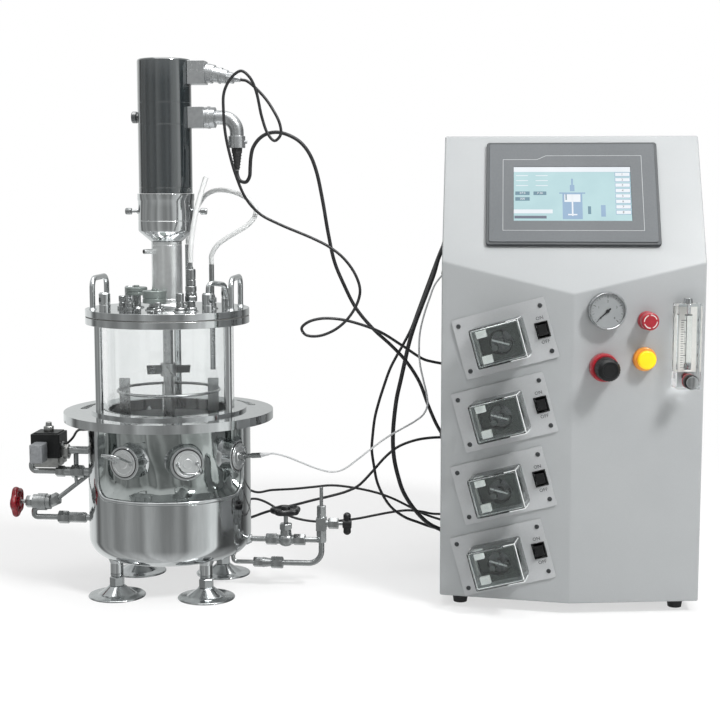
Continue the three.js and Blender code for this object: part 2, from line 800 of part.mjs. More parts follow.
function vesselBody() {
  const space = cut(jacketSpace(), recess(JACKET_WALL));
  const shell = cut(potShell(), space, recess(0), ...SLOT_STARTS.map(kidneySlot));
  const legs = legPlaces().map(([, x, y]) => (
    rod([x, y, FOOT_HEX_TOP + GAP], [x, y, JACKET_BOTTOM + 9], LEG_BOSS_RADIUS)
  ));
  const studHoles = legPlaces().map(([, x, y]) => (
    rod([x, y, 0], [x, y, FOOT_STUD_TOP + 1], FOOT_STUD + GAP)
  ));
  const left = LEFT_NOZZLES.map(([z, radius]) => nozzle(-1, z, radius));
  const leftBores = LEFT_NOZZLES.map(([z, , bore]) => nozzleBore(-1, z, bore));
  const drain = rod(
    [NOZZLE_DEPTH - JACKET_RADIUS, DRAIN_NOZZLE_Y, DRAIN_NOZZLE_Z],
    [-NOZZLE_END, DRAIN_NOZZLE_Y, DRAIN_NOZZLE_Z], 5,
  );
  const steam = nozzle(1, STEAM_NOZZLE_Z, 6);
  const steamBore = nozzleBore(1, STEAM_NOZZLE_Z, 3);
  const bottom = rod(
    [BOTTOM_NOZZLE_X, 0, JACKET_BOTTOM - 3],
    [BOTTOM_NOZZLE_X, 0, JACKET_BOTTOM + 4], 4.5,
  );
  const rodHoles = ROD_AZIMUTHS.map((azimuth) => rod(
    onRing(ROD_CIRCLE, azimuth, SEAT_TOP - ROD_DEPTH - 1),
    onRing(ROD_CIRCLE, azimuth, SEAT_TOP + 1), ROD_RADIUS + GAP,
  ));
  const probeHole = rod(probeLine(POT_RADIUS - 20), probeLine(PORT_FACE + 12), PROBE_RADIUS + GAP);
  const solid = join(shell, ports(), heaterHead(), ...legs, ...left, drain, steam, bottom);
  return cut(solid, ...studHoles, ...leftBores, steamBore, ...rodHoles, probeHole);
}

function foot() {
  return join(
    turned([
      [0, 0],
      [FOOT_RADIUS, 0],
      [FOOT_RADIUS, FOOT_RIM],
      [LEG_BOSS_RADIUS + 2, FOOT_CONE],
      [0, FOOT_CONE],
    ]),
    hexagon([0, 0, FOOT_CONE - 1], [0, 0, FOOT_HEX_TOP], FOOT_HEX),
    rod([0, 0, FOOT_HEX_TOP - 1], [0, 0, FOOT_STUD_TOP], FOOT_STUD),
  );
}

function upperRing() {
  const grooveIn = GLASS_INNER - GAP;
  const grooveOut = GLASS_RADIUS + GAP;
  const ring = turned([
    [RING_INNER, RING_BOTTOM],
    [grooveIn, RING_BOTTOM],
    [grooveIn, RING_BOTTOM + RING_GROOVE],
    [grooveOut, RING_BOTTOM + RING_GROOVE],
    [grooveOut, RING_BOTTOM],
    [RING_OUTER, RING_BOTTOM],
    [RING_OUTER, RING_TOP],
    [RING_INNER, RING_TOP],
  ]);
  const rods = ROD_AZIMUTHS.map((azimuth) => rod(
    onRing(ROD_CIRCLE, azimuth, SEAT_TOP - ROD_DEPTH),
    onRing(ROD_CIRCLE, azimuth, RING_BOTTOM + 2), ROD_RADIUS,
  ));
  return join(ring, ...rods);
}

// ---------------------------------------------------------------------- lid

const CONDENSER_X = 45;
const CONDENSER_Y = -58;
const CONDENSER_NECK = 13;
const VENT_X = 21.5;
const VENT_Y = 40;
const VENT_TOP = 478;
const DIP_BOSS = 8;

function lidFitting(x, y, steps) {
  const parts = [];
  let z = LID_TOP - 1;
  for (const [radius, height, sides] of steps) {
    parts.push(rod([x, y, z], [x, y, z + height], radius, sides));
    z += height;
  }
  return join(...parts);
}

function lidHandle(side) {
  const x = side * HANDLE_X;
  const low = LID_TOP - 2;
  const high = LID_TOP + HANDLE_HEIGHT - HANDLE_ROD;
  const loop = tube([
    [x, -HANDLE_Y, low],
    [x, -HANDLE_Y, high],
    [x, HANDLE_Y, high],
    [x, HANDLE_Y, low],
  ], 14, HANDLE_ROD, 8, 3);
  return loop;
}

function lidNut(azimuth) {
  const foot = onRing(LID_NUT_CIRCLE, azimuth, LID_TOP - 1);
  const top = onRing(LID_NUT_CIRCLE, azimuth, LID_TOP + LID_NUT_HEIGHT);
  const middle = LID_TOP + LID_NUT_HEIGHT * 0.62;
  const hole = rod(
    onRing(LID_NUT_CIRCLE - 12, azimuth, middle),
    onRing(LID_NUT_CIRCLE + 12, azimuth, middle), 3,
  );
  return cut(rod(foot, top, LID_NUT_RADIUS), hole);
}

function lid() {
  const plateSolid = turned([
    [SHAFT_BORE, LID_BOTTOM],
    [LID_RADIUS, LID_BOTTOM],
    [LID_RADIUS, LID_TOP - 0.8],
    [LID_RADIUS - 0.8, LID_TOP],
    [SHAFT_BORE, LID_TOP],
  ]);
  const fittings = [
    lidFitting(-44, 2, [[6, 18.3, 0], [15, 11, 0], [4, 2.5, 0]]),
    lidFitting(-46, -30, [[6.5, 9.5, 0], [4, 3, 0]]),
    lidFitting(-58, -22, [[5, 18.5, 0]]),
    lidFitting(-8, -44, [[11.5, 5, 6], [7, 5.3, 0], [16, 17, 0], [4, 2, 0]]),
    lidFitting(6, -85, [[6, 5, 6], [4.25, 9.5, 0]]),
    lidFitting(32, -68, [[7.5, 6, 6], [5.25, 19.5, 0]]),
    lidFitting(CONDENSER_X, CONDENSER_Y, [[8, 6, 6], [5.5, CONDENSER_NECK - 5, 0]]),
    lidFitting(VENT_X, VENT_Y, [[8, 6, 0], [4.25, VENT_TOP - LID_TOP - 5, 0]]),
    lidFitting(DIP_X, DIP_Y, [[7, DIP_BOSS + 1, 0]]),
  ];
  const sampler = tube([
    [66, -46, LID_TOP - 1],
    [66, -46, LID_TOP + 38],
    [84, -24, LID_TOP + 34],
    [86, -18, LID_TOP + 18],
  ], 8, 3.5, 8, 2);
  const solid = join(
    plateSolid, ...fittings, sampler,
    lidHandle(-1), lidHandle(1),
    ...[-135, -45, 45, 135].map(lidNut),
  );
  const bores = [
    rod([DIP_X, DIP_Y, LID_BOTTOM - 1], [DIP_X, DIP_Y, LID_TOP + DIP_BOSS + 1], DIP_RADIUS + GAP),
    rod([32, -68, LID_TOP + 10], [32, -68, LID_TOP + 26], 3.4),
    rod([VENT_X, VENT_Y, LID_BOTTOM - 1], [VENT_X, VENT_Y, VENT_TOP + 1], 2.2),
  ];
  return cut(solid, ...bores);
}

function condenser() {
  const z = LID_TOP + CONDENSER_NECK + GAP;
  const x = CONDENSER_X;
  const y = CONDENSER_Y;
  const stack = join(
    hexagon([x, y, z], [x, y, z + 8], 15),
    rod([x, y, z + 7], [x, y, z + 21], 7.5),
    rod([x, y, z + 20], [x, y, z + 43], 6.5),
    rod([x, y, z + 42], [x, y, z + 60], 2.5),
  );
  const ventHose = hose([
    [x, y, z + 52],
    [x, y, z + 64],
    [x + 1, y + 4, z + 84],
    [x + 5, y + 14, z + 118],
    [x + 11, y + 28, z + 148],
    [x + 15, y + 36, z + 165],
  ], 7, 9);
  return join(stack, ventHose);
}

function dipTube() {
  const top = SILICONE_HOSE[SILICONE_HOSE.length - 1][2] - GAP;
  const collar = LID_TOP + DIP_BOSS + GAP;
  const solid = join(
    rod([DIP_X, DIP_Y, DIP_BOTTOM], [DIP_X, DIP_Y, top], DIP_RADIUS),
    hexagon([DIP_X, DIP_Y, collar], [DIP_X, DIP_Y, collar + 7], 12),
  );
  return cut(solid, rod([DIP_X, DIP_Y, DIP_BOTTOM - 1], [DIP_X, DIP_Y, DIP_BOTTOM + 12], 2.2));
}

// -------------------------------------------------------------- stirrer drive

function stirrerColumn() {
  const column = turned([
    [SHAFT_BORE, COLUMN_BOTTOM],
    [COLUMN_FOOT, COLUMN_BOTTOM],
    [COLUMN_FOOT, COLUMN_BOTTOM + 4],
    [COLUMN_RADIUS, COLUMN_BOTTOM + 6],
    [COLUMN_RADIUS, COLUMN_TOP],
    [SHAFT_BORE, COLUMN_TOP],
  ]);
  const z = COLUMN_TOP - 13;
  const nipple = cut(
    rod([-2, -COLUMN_RADIUS + 6, z], [-26, -26, z], 3.25),
    rod([-22, -25, z], [-30, -26.8, z], 2.2),
  );
  return join(column, cut(nipple, disc(COLUMN_RADIUS - 5, z - 9, z + 9)));
}

function motorAdaptor() {
  const low = ADAPTOR_BOTTOM;
  const bowl = turned([
    [SHAFT_BORE, low],
    [COLUMN_RADIUS, low],
    [ADAPTOR_RADIUS, low + 14],
    [ADAPTOR_RADIUS, low + 56],
    [ADAPTOR_RADIUS + 0.75, low + 57],
    [ADAPTOR_RADIUS + 0.75, ADAPTOR_TOP],
    [ADAPTOR_BORE, ADAPTOR_TOP],
    [ADAPTOR_BORE, low + 18],
    [SHAFT_BORE, low + 18],
  ]);
  const z = low + 41;
  const screws = [-1, 1].map((side) => join(
    rod([side * (ADAPTOR_BORE + 3), 0, z], [side * (ADAPTOR_RADIUS + 11), 0, z], 2),
    rod([side * (ADAPTOR_RADIUS + 10), 0, z], [side * (ADAPTOR_RADIUS + 19), 0, z], 4.5),
  ));
  return join(bowl, ...screws);
}

function motorHousing() {
  const low = MOTOR_BOTTOM;
  const body = turned([
    [0, low],
    [MOTOR_RADIUS, low],
    [MOTOR_RADIUS, MOTOR_TOP - 2],
    [MOTOR_RADIUS - 2, MOTOR_TOP],
    [0, MOTOR_TOP],
  ]);
  const z = low + 103;
  const knob = rod([-MOTOR_RADIUS + 4, 0, z], [-MOTOR_RADIUS - 9, 0, z], 8);
  return join(body, knob);
}

function motorSideBlock(z, height, depth, reach) {
  const solid = block([MOTOR_RADIUS - 8, -depth / 2, z - height / 2], [reach, depth / 2, z + height / 2]);
  return cut(solid, disc(MOTOR_RADIUS + GAP, z - height, z + height));
}

function topConnector() {
  const z = 711;
  const start = SIGNAL_CABLE[0];
  const tip = [start[0] - GAP, start[1], start[2] + 0.1];
  const at = (t) => [57 + (tip[0] - 57) * t, tip[1] * t, z + (tip[2] - z) * t];
  return join(
    motorSideBlock(z, 31, 28, 57.5),
    rod(at(0), at(0.24), 12.5),
    rod(at(0.22), at(0.62), 10.5, 0, 9),
    rod(at(0.6), at(0.82), 7.5),
    rod(at(0.8), at(1), 5, 0, 3),
  );
}

function elbowConnector() {
  const z = 651;
  const [x, , tipZ] = MOTOR_CABLE[0];
  return join(
    motorSideBlock(z, 28, 28, 55.5),
    rod([55, 0, z], [70, 0, z], 15),
    tube([[69, 0, z], [x, 0, z], [x, 0, 612]], 20, 9.5, 12, 4),
    rod([x, 0, 626], [x, 0, 610], 11.5),
    rod([x - 14, 0, 618], [x + 14, 0, 618], 2.5),
    rod([x, 0, 611], [x, 0, 604], 8, 6),
    rod([x, 0, 605], [x, 0, tipZ + GAP], 6.5, 0, 3.2),
  );
}

function impellerBlade(azimuth, radius, height, pitch) {
  const geometry = new THREE.BoxGeometry(radius - 4, 2, height);
  geometry.rotateX(degrees(pitch));
  geometry.translate((radius + 4) / 2, 0, 0);
  geometry.rotateZ(degrees(azimuth));
  return geometry;
}

function impeller(z, radius, height, pitch) {
  const hub = rod([0, 0, z - 9], [0, 0, z + 9], SHAFT_RADIUS + 4);
  const blades = [20, 110, 200, 290].map((azimuth) => (
    toSolid(impellerBlade(azimuth, radius, height, pitch).translate(0, 0, z))
  ));
  return join(hub, ...blades);
}

function agitator() {
  const shaft = rod([0, 0, SHAFT_BOTTOM], [0, 0, ADAPTOR_BOTTOM + 24], SHAFT_RADIUS);
  const coupling = rod(
    [0, 0, ADAPTOR_BOTTOM + 22], [0, 0, ADAPTOR_TOP - 2], COUPLING_RADIUS,
  );
  return join(
    shaft,
    coupling,
    rod([0, 0, ADAPTOR_TOP - 3], [0, 0, MOTOR_BOTTOM - GAP], SHAFT_RADIUS),
    impeller(IMPELLER_Z, IMPELLER_RADIUS, 14, 40),
    impeller(LOWER_IMPELLER_Z, IMPELLER_RADIUS + 8, 16, 0),
  );
}

function baffleCage() {
  const bottom = POT_FLOOR + GAP;
  const blades = [-84, 6, 96, 186].map((azimuth) => {
    const half = BAFFLE_THICKNESS / 2;
    const solid = block([-half, -BAFFLE_OUTER, bottom], [half, -BAFFLE_INNER, BAFFLE_TOP]);
    return turnedTo(solid, azimuth);
  });
  return join(
    wireRing(BAFFLE_RING, BAFFLE_WIRE, BAFFLE_RING_Z),
    ...blades,
  );
}

// ------------------------------------------------------------------ pipework

function solenoidValve() {
  const up = UPPER_NOZZLE_Z;
  const mid = MIDDLE_NOZZLE_Z;
  const gland = VALVE_CABLE[0];
  return join(
    block([-193, -20, 181], [-152, 20, 215]),
    rod([-172.5, 0, 214], [-172.5, 0, 229.5], 7, 6),
    block([-187, -46, 178], [-169, -19, 204.5]),
    block([-190, -14, 167], [-156, 14, 182]),
    rod([-157, 0, up - 2], [-143, 0, up - 2], 11, 6),
    block([-160, -9, 172], [-150, 9, 196]),
    rod([-144, 0, up], [-PIPE_START, 0, up], 5.5),
    tube([[-188, 0, 174], [-198.5, 0, 174], [-198.5, 0, mid], [-160, 0, mid]], 6.5, 4, 10, 4),
    rod([-163, 0, mid], [-140, 0, mid], 8),
    hexagon([-141, 0, mid], [-123, 0, mid], PIPE_NUT),
    rod([-124, 0, mid], [-PIPE_START, 0, mid], 5.5),
    rod([-136, 6, mid], [-136, 6, up], 3.5),
    rod([-153, gland[1], gland[2]], [gland[0] - GAP, gland[1], gland[2]], 3.5),
  );
}

const RED_WHEEL = [-221, 0, 115];
const BLACK_WHEEL = [163, 0, 109];
const SAMPLE_HANDLE = [249, 0, 92];
const STEM_SEAT = 4;

function outletPipework() {
  const [wheelX, , wheelZ] = RED_WHEEL;
  const low = LOWER_NOZZLE_Z - 1;
  return join(
    tube([
      [-161, 0, 121],
      [-120, DRAIN_NOZZLE_Y, DRAIN_NOZZLE_Z],
      [-PIPE_START, DRAIN_NOZZLE_Y, DRAIN_NOZZLE_Z],
    ], 3, 3.25, 8, 2),
    hexagon([-174, 0, 115], [-160, 0, 121.5], 15),
    rod([-172, 0, wheelZ], [-197, 0, wheelZ], 12),
    hexagon([-196, 0, wheelZ], [-207, 0, wheelZ], 15),
    rod([-206, 0, wheelZ], [wheelX - STEM_SEAT + GAP, 0, wheelZ], STEM_RADIUS),
    tube([[-186, 0, 110], [-196.5, 0, 104], [-196.5, 0, low], [-160, 0, low]], 5, 4, 10, 3),
    hexagon([-161, 0, low], [-146, 0, low], PIPE_NUT),
    rod([-147, 0, low], [-121, 0, low], 7.5),
    rod([-122, 0, low], [-PIPE_START, 0, low], 4.5),
    rod([-136, 7, 139], [-136, 3, MIDDLE_NOZZLE_Z - PIPE_NUT / Math.sqrt(3) - 2 * GAP], 2.5),
  );
}

function steamValve() {
  const z = STEAM_NOZZLE_Z;
  const teeX = 213;
  const [wheelX, , wheelZ] = BLACK_WHEEL;
  const [handleX, , handleZ] = SAMPLE_HANDLE;
  const back = RETURN_Z;
  return join(
    rod([PIPE_START, 0, z], [136, 0, z], 3.75),
    hexagon([135, 0, z], [151, 0, z], 14),
    rod([150, 0, z], [176, 0, z], 9.5),
    rod([wheelX, 0, z - 8], [wheelX, 0, z + 15], 9),
    hexagon([wheelX, 0, z + 14], [wheelX, 0, z + 23], 16),
    rod([wheelX, 0, z + 22], [wheelX, 0, wheelZ + STEM_SEAT - GAP], STEM_RADIUS),
    hexagon([174, 0, z], [190.5, 0, z], 14),
    rod([189, 0, z], [teeX, 0, z], 3.75),
    hexagon([teeX, 0, z - 3], [teeX, 0, z + 15], 13),
    block([teeX - 7, -7, z + 14], [teeX + 7, 7, z + 32]),
    hexagon([teeX, 0, z + 31], [teeX, 0, z + 49], 12),
    rod([teeX, 0, z + 48], [teeX, 0, z + 75], 2.5),
    rod([teeX + 6, 0, handleZ], [teeX + 11, 0, handleZ], 5),
    hexagon([teeX + 10, 0, handleZ], [teeX + 24, 0, handleZ], 14),
    rod([teeX + 23, 0, handleZ], [handleX - 2, 0, handleZ], STEM_RADIUS - 0.5),
    tube([
      [BOTTOM_NOZZLE_X, 0, JACKET_BOTTOM - 3 - GAP],
      [BOTTOM_NOZZLE_X, 0, back],
      [118, 0, back],
    ], 6, 3, 10, 3),
    rod([117, 0, back], [143, 0, back], 7.25),
    hexagon([142, 0, back], [159, 0, back], 15),
    tube([[158, 0, back], [teeX, 0, back], [teeX, 0, z]], 18, 4, 10, 5),
  );
}

// a lobed hand wheel with a blind hole for its stem, its axis on Z, rim at z = 0
function handWheel(stemRadius, thickness) {
  const shape = new THREE.Shape();
  const steps = WHEEL_LOBES * 6;
  const points = [];
  for (let i = 0; i < steps; i += 1) {
    const angle = 2 * Math.PI * i / steps;
    const radius = WHEEL_RADIUS - 1.6 + 1.6 * Math.cos(WHEEL_LOBES * angle);
    points.push(new THREE.Vector2(radius * Math.cos(angle), radius * Math.sin(angle)));
  }
  shape.setFromPoints(points);
  for (let i = 0; i < WHEEL_LOBES; i += 1) {
    const angle = 2 * Math.PI * (i + 0.5) / WHEEL_LOBES;
    const hole = new THREE.Path();
    hole.absarc(13 * Math.cos(angle), 13 * Math.sin(angle), 4.4, 0, 2 * Math.PI, true);
    shape.holes.push(hole);
  }
  const options = { depth: thickness, bevelEnabled: false, curveSegments: 6 };
  const rim = new THREE.ExtrudeGeometry(shape, options).translate(0, 0, -thickness / 2);
  const hub = rod([0, 0, -thickness / 2 - 1], [0, 0, thickness / 2 + 2], WHEEL_HUB);
  const bore = rod([0, 0, -thickness], [0, 0, STEM_SEAT], stemRadius + GAP);
  return cut(join(toSolid(rim), hub), bore);
}

function sampleHandle() {
  const hub = rod([-6, 0, 0], [6, 0, 0], 6.5);
  const bar = rod([0, 0, -15], [0, 0, 15], 5.5);
  const ends = [-1, 1].map((side) => (
    rod([0, 0, side * 13], [0, 0, side * 16], 5.5, 0, 4)
  ));
  const bore = rod([-8, 0, 0], [-1, 0, 0], STEM_RADIUS - 0.5 + GAP);
  return cut(join(hub, bar, ...ends), bore);
}

// ------------------------------------------------------------------- cabinet

function cabinetPlan(inset) {
  const side = HALF_WIDTH - inset;
  const back = CABINET_DEPTH - inset;
  const lift = inset / Math.cos(FACE_ANGLE);
  const front = -CABINET_RIDGE + lift;
  const corner = front + side * Math.tan(FACE_ANGLE);
  return [[0, front], [side, corner], [side, back], [-side, back], [-side, corner]];
}

// everything in front of the sloping panel face, moved back by an inset
function beforeSlope(inset) {
  const shift = inset / Math.cos(SLOPE_ANGLE);
  const at = (z) => SLOPE_RUN * (z - SLOPE_START) + shift;
  const low = SLOPE_START - 120;
  const high = CABINET_TOP + 60;
  const far = -400;
  const width = CABINET_WIDTH + 40;
  const points = [[at(low), low], [at(high), high], [far, high], [far, low]];
  const options = { depth: width, bevelEnabled: false };
  const geometry = new THREE.ExtrudeGeometry(outline(points), options);
  // the outline's axes are Y and Z, and it is drawn out along X
  const axes = new THREE.Matrix4().makeBasis(
    new THREE.Vector3(0, 1, 0),
    new THREE.Vector3(0, 0, 1),
    new THREE.Vector3(1, 0, 0),
  );
  return toSolid(geometry.applyMatrix4(axes).translate(-width / 2, 0, 0));
}

function cabinetBody(inset) {
  const bottom = CABINET_BOTTOM + inset;
  const top = CABINET_TOP - inset;
  return cut(prism(cabinetPlan(inset), bottom, top), beforeSlope(inset));
}

function rearVents() {
  const slots = [];
  for (let row = 0; row < 5; row += 1) {
    const z = 480 + row * 14;
    const from = [-60, CABINET_DEPTH - 6, z];
    slots.push(block(from, [60, CABINET_DEPTH + 2, z + 5]));
  }
  return slots;
}

// each cord's end at the cabinet, and the point before it
function cordEnds() {
  const last = (points) => points.slice(-2).reverse();
  const first = (points) => points.slice(0, 2);
  return [
    last(SIGNAL_CABLE), last(MOTOR_CABLE), first(BUNDLE_CABLE), last(BUNDLE_CABLE),
    first(SENSOR_CABLE), last(SENSOR_CABLE), last(HEATER_CABLE), last(VALVE_CABLE),
    last(TEMPERATURE_CABLE), last(ELECTRODE_CABLE),
  ];
}

// boots in the cabinet's side that lean along the cords which enter them
function boots() {
  return cordEnds().map(([end, before]) => {
    const tip = new THREE.Vector3(...end);
    const along = tip.clone().sub(new THREE.Vector3(...before)).normalize();
    const start = tip.clone().addScaledVector(along, GAP);
    const reach = (CABINET_LEFT + 1 - tip.x) / along.x;
    const finish = tip.clone().addScaledVector(along, reach);
    const offset = new THREE.Vector3(CABINET_X, CABINET_Y, 0);
    return rod(start.sub(offset).toArray(), finish.sub(offset).toArray(), BOOT_RADIUS);
  });
}

function cabinetFeet() {
  const x = HALF_WIDTH - CABINET_FOOT_INSET;
  const places = [
    [-x, CABINET_FOOT_INSET],
    [x, CABINET_FOOT_INSET],
    [-x, CABINET_DEPTH - CABINET_FOOT_INSET],
    [x, CABINET_DEPTH - CABINET_FOOT_INSET],
  ];
  return places.map(([fx, fy]) => (
    rod([fx, fy, 0], [fx, fy, CABINET_BOTTOM + 1], CABINET_FOOT_RADIUS - 2, 0, CABINET_FOOT_RADIUS)
  ));
}

// cut-outs behind a pump module, in its own frame (-Y out of the face)
const PUMP_OPENING_WIDTH = 100;
const PUMP_OPENING_HEIGHT = 70;

function pumpOpening() {
  const rocker = block(
    [ROCKER_X - 12, -15, ROCKER_Z - ROCKER_HEIGHT / 2 - 1],
    [ROCKER_X + ROCKER_WIDTH / 2, 15, ROCKER_Z + ROCKER_HEIGHT / 2 + 1],
  );
  return join(plate(PUMP_OPENING_WIDTH, PUMP_OPENING_HEIGHT, 30, 4, -15, 1), rocker);
}

function faceHole([along, z], radius) {
  return rod([along, 40, z], [along, -40, z], radius);
}

const COLLAR_PROUD = 6;

function faceCollar([along, z], inner, outer, proud) {
  const ring = cut(
    rod([along, 1, z], [along, -proud, z], outer),
    rod([along, 3, z], [along, -proud - 2, z], inner),
  );
  return ring;
}

const SHELL_BUTTON_HOLE = BUTTON_STEM + GAP;
const REGULATOR_STEM = 5;
const TURNING_GAP = 0.7; // round a faceted stem that turns

function cabinetShell(frames) {
  const { right, slope, pumps } = frames;
  const hollow = cabinetBody(CABINET_WALL);
  const panelX = PANEL_WIDTH / 2 - PANEL_LIP + GAP;
  const panelZ = PANEL_HEIGHT / 2 - PANEL_LIP + GAP;
  const panelHole = block([-panelX, -20, -panelZ], [panelX, 20, panelZ]);
  const openings = pumps.map((frame) => transformed(pumpOpening(), frame));
  const holes = [
    faceHole(GAUGE_AT, 6 + GAP),
    faceHole(STOP_AT, SHELL_BUTTON_HOLE),
    faceHole(LAMP_AT, SHELL_BUTTON_HOLE),
    faceHole(REGULATOR_AT, REGULATOR_STEM + TURNING_GAP),
    faceHole([ROTAMETER_AT[0], ROTAMETER_AT[1] + 40], 5 + GAP),
    faceHole([ROTAMETER_AT[0], ROTAMETER_AT[1] - 40], 5 + GAP),
  ];
  const collars = [
    faceCollar(STOP_AT, SHELL_BUTTON_HOLE, 14.5, COLLAR_PROUD),
    faceCollar(LAMP_AT, SHELL_BUTTON_HOLE, 15, COLLAR_PROUD),
    faceCollar(REGULATOR_AT, REGULATOR_STEM + TURNING_GAP, REGULATOR_COLLAR, 13),
  ];
  const shell = cut(
    join(cabinetBody(0), ...cabinetFeet(), ...boots()),
    hollow,
    transformed(panelHole, slope),
    ...openings,
    ...holes.map((hole) => transformed(hole, right)),
    ...rearVents(),
  );
  return join(shell, ...collars.map((collar) => transformed(collar, right)));
}

function touchPanel() {
  const bezel = plate(PANEL_WIDTH, PANEL_HEIGHT, PANEL_BEZEL, 9, -PANEL_BEZEL - GAP, 4);
  const body = block(
    [-PANEL_WIDTH / 2 + PANEL_LIP, -GAP - 1, -PANEL_HEIGHT / 2 + PANEL_LIP],
    [PANEL_WIDTH / 2 - PANEL_LIP, PANEL_BODY, PANEL_HEIGHT / 2 - PANEL_LIP],
  );
  const screen = block(
    [-SCREEN_WIDTH / 2, -PANEL_BEZEL - 2, -SCREEN_HEIGHT / 2 - 2],
    [SCREEN_WIDTH / 2, -PANEL_BEZEL - GAP + SCREEN_RECESS, SCREEN_HEIGHT / 2 - 2],
  );
  return cut(join(bezel, body), screen);
}

// ---------------------------------------------------------------- pump module
// local frame: X along the plate, Z up it, -Y out of the cabinet face

const PLATE_FRONT = -GAP - PUMP_PLATE;
const HEAD_FRONT = PLATE_FRONT - PUMP_HEAD_DEPTH;
const ROTOR_BORE = ROTOR_RADIUS + ROTOR_CLEARANCE;
const ROTOR_FLOOR = PLATE_FRONT - 4;

function pumpModule() {
  const front = plate(PUMP_WIDTH, PUMP_HEIGHT, PUMP_PLATE, 2, PLATE_FRONT, 1);
  const headSolid = block(
    [COVER_X - PUMP_HEAD_WIDTH / 2, HEAD_FRONT, COVER_Z - PUMP_HEAD_HEIGHT / 2],
    [COVER_X + PUMP_HEAD_WIDTH / 2, PLATE_FRONT + 1, COVER_Z + PUMP_HEAD_HEIGHT / 2],
  );
  const chamber = rod([COVER_X, ROTOR_FLOOR, COVER_Z], [COVER_X, HEAD_FRONT - 2, COVER_Z], ROTOR_BORE);
  const mouth = block(
    [COVER_X - PUMP_HEAD_WIDTH / 2 - 2, HEAD_FRONT - 2, COVER_Z - 12],
    [COVER_X, ROTOR_FLOOR - 4, COVER_Z + 12],
  );
  const motorFrom = [COVER_X, PLATE_FRONT + 1, COVER_Z];
  const motorTo = [COVER_X, PUMP_MOTOR_LENGTH, COVER_Z];
  const motor = rod(motorFrom, motorTo, PUMP_MOTOR_RADIUS);
  const rockerHole = block(
    [ROCKER_X - 6.5 - GAP, PLATE_FRONT - 1, ROCKER_Z - 9 - GAP],
    [ROCKER_X + 6.5 + GAP, 2, ROCKER_Z + 9 + GAP],
  );
  const clamps = [-1, 1].map((side) => block(
    [COVER_X - PUMP_HEAD_WIDTH / 2, HEAD_FRONT - 8, COVER_Z + side * 17 - 5],
    [COVER_X - PUMP_HEAD_WIDTH / 2 + 11, HEAD_FRONT + 1, COVER_Z + side * 17 + 5],
  ));
  const knuckles = [-1, 1].map((side) => join(
    rod(
      [HINGE_X, HINGE_Y, COVER_Z + side * 20 - 3],
      [HINGE_X, HINGE_Y, COVER_Z + side * 20 + 3], COVER_HINGE - GAP,
    ),
    block(
      [HINGE_X - 1.2, HINGE_Y, COVER_Z + side * 20 - 3],
      [HINGE_X + 1.2, PLATE_FRONT + 1, COVER_Z + side * 20 + 3],
    ),
  ));
  const solid = cut(join(front, headSolid, motor), chamber, mouth, rockerHole);
  return join(solid, ...clamps, ...knuckles);
}

const HINGE_X = COVER_X - COVER_WIDTH / 2 - COVER_HINGE;
const HINGE_Y = PLATE_FRONT - COVER_HINGE - GAP;

// the clear cover, about its hinge axis
function pumpCover() {
  const width = COVER_WIDTH;
  const half = COVER_HEIGHT / 2;
  const x = COVER_HINGE;
  const back = PLATE_FRONT - GAP - HINGE_Y;
  const front = back - COVER_DEPTH;
  const outer = block([x, front, -half], [x + width, back, half]);
  const wall = COVER_WALL;
  const inner = block(
    [x + wall, front + wall, -half + wall],
    [x + width - wall, back + 2, half - wall],
  );
  const barrel = rod([0, 0, -14], [0, 0, 14], COVER_HINGE - 0.2);
  const web = block([0, -COVER_HINGE + 0.4, -14], [x + 1, 0.6, 14]);
  return join(cut(outer, inner), cut(join(barrel, web), inner));
}

function pumpRotor() {
  const floor = -GAP;
  const top = HEAD_FRONT - ROTOR_FLOOR + 4;
  const base = rod([0, floor, 0], [0, floor - 3, 0], ROTOR_RADIUS - 1);
  const hub = rod([0, floor - 2, 0], [0, top - 1.5, 0], 4);
  const rollers = [90, 210, 330].map((angle) => {
    const x = (ROTOR_RADIUS - ROLLER_RADIUS) * Math.cos(degrees(angle));
    const z = (ROTOR_RADIUS - ROLLER_RADIUS) * Math.sin(degrees(angle));
    return rod([x, floor - 2, z], [x, top, z], ROLLER_RADIUS);
  });
  const bar = block([-10, top - 3, -1.5], [10, top - 1, 1.5]);
  return join(base, hub, bar, ...rollers);
}

// a rocker about its own pivot, which lies in the plate's front
function rockerSwitch() {
  const lift = degrees(8);
  const half = ROCKER_HEIGHT / 2 - 2.5;
  const shape = outline([
    [-half, 3 + half * Math.tan(lift)],
    [0, 3],
    [half, 3 + half * Math.tan(lift)],
    [half - 1.5, 0.4],
    [2.5, -ROCKER_BODY + 5],
    [-2.5, -ROCKER_BODY + 5],
    [-half + 1.5, 0.4],
  ]);
  const width = 12;
  const geometry = new THREE.ExtrudeGeometry(shape, { depth: width, bevelEnabled: false });
  // the outline's axes are Z and -Y, and it is drawn out along X
  const axes = new THREE.Matrix4().makeBasis(
    new THREE.Vector3(0, 0, 1),
    new THREE.Vector3(0, -1, 0),
    new THREE.Vector3(1, 0, 0),
  );
  return toSolid(geometry.applyMatrix4(axes).translate(-width / 2, 0, 0));
}

// --------------------------------------------------------------- instruments
// local frame of the right-hand face: X along it, Z up, -Y out

function pressureGauge() {
  const [x, z] = GAUGE_AT;
  const back = -GAP;
  const front = back - GAUGE_DEPTH;
  const body = rod([x, back, z], [x, front, z], GAUGE_RADIUS);
  const dial = rod([x, front + 3.5, z], [x, front - 2, z], GAUGE_RADIUS - GAUGE_BEZEL);
  const stem = rod([x, back - 1, z], [x, 24, z], 6);
  const lug = rod([x, front + 5, z], [x, front + 2.6, z], 1.6);
  return join(cut(body, dial), stem, lug);
}

const NEEDLE_Y = -GAP - GAUGE_DEPTH + 2.6 - GAP;

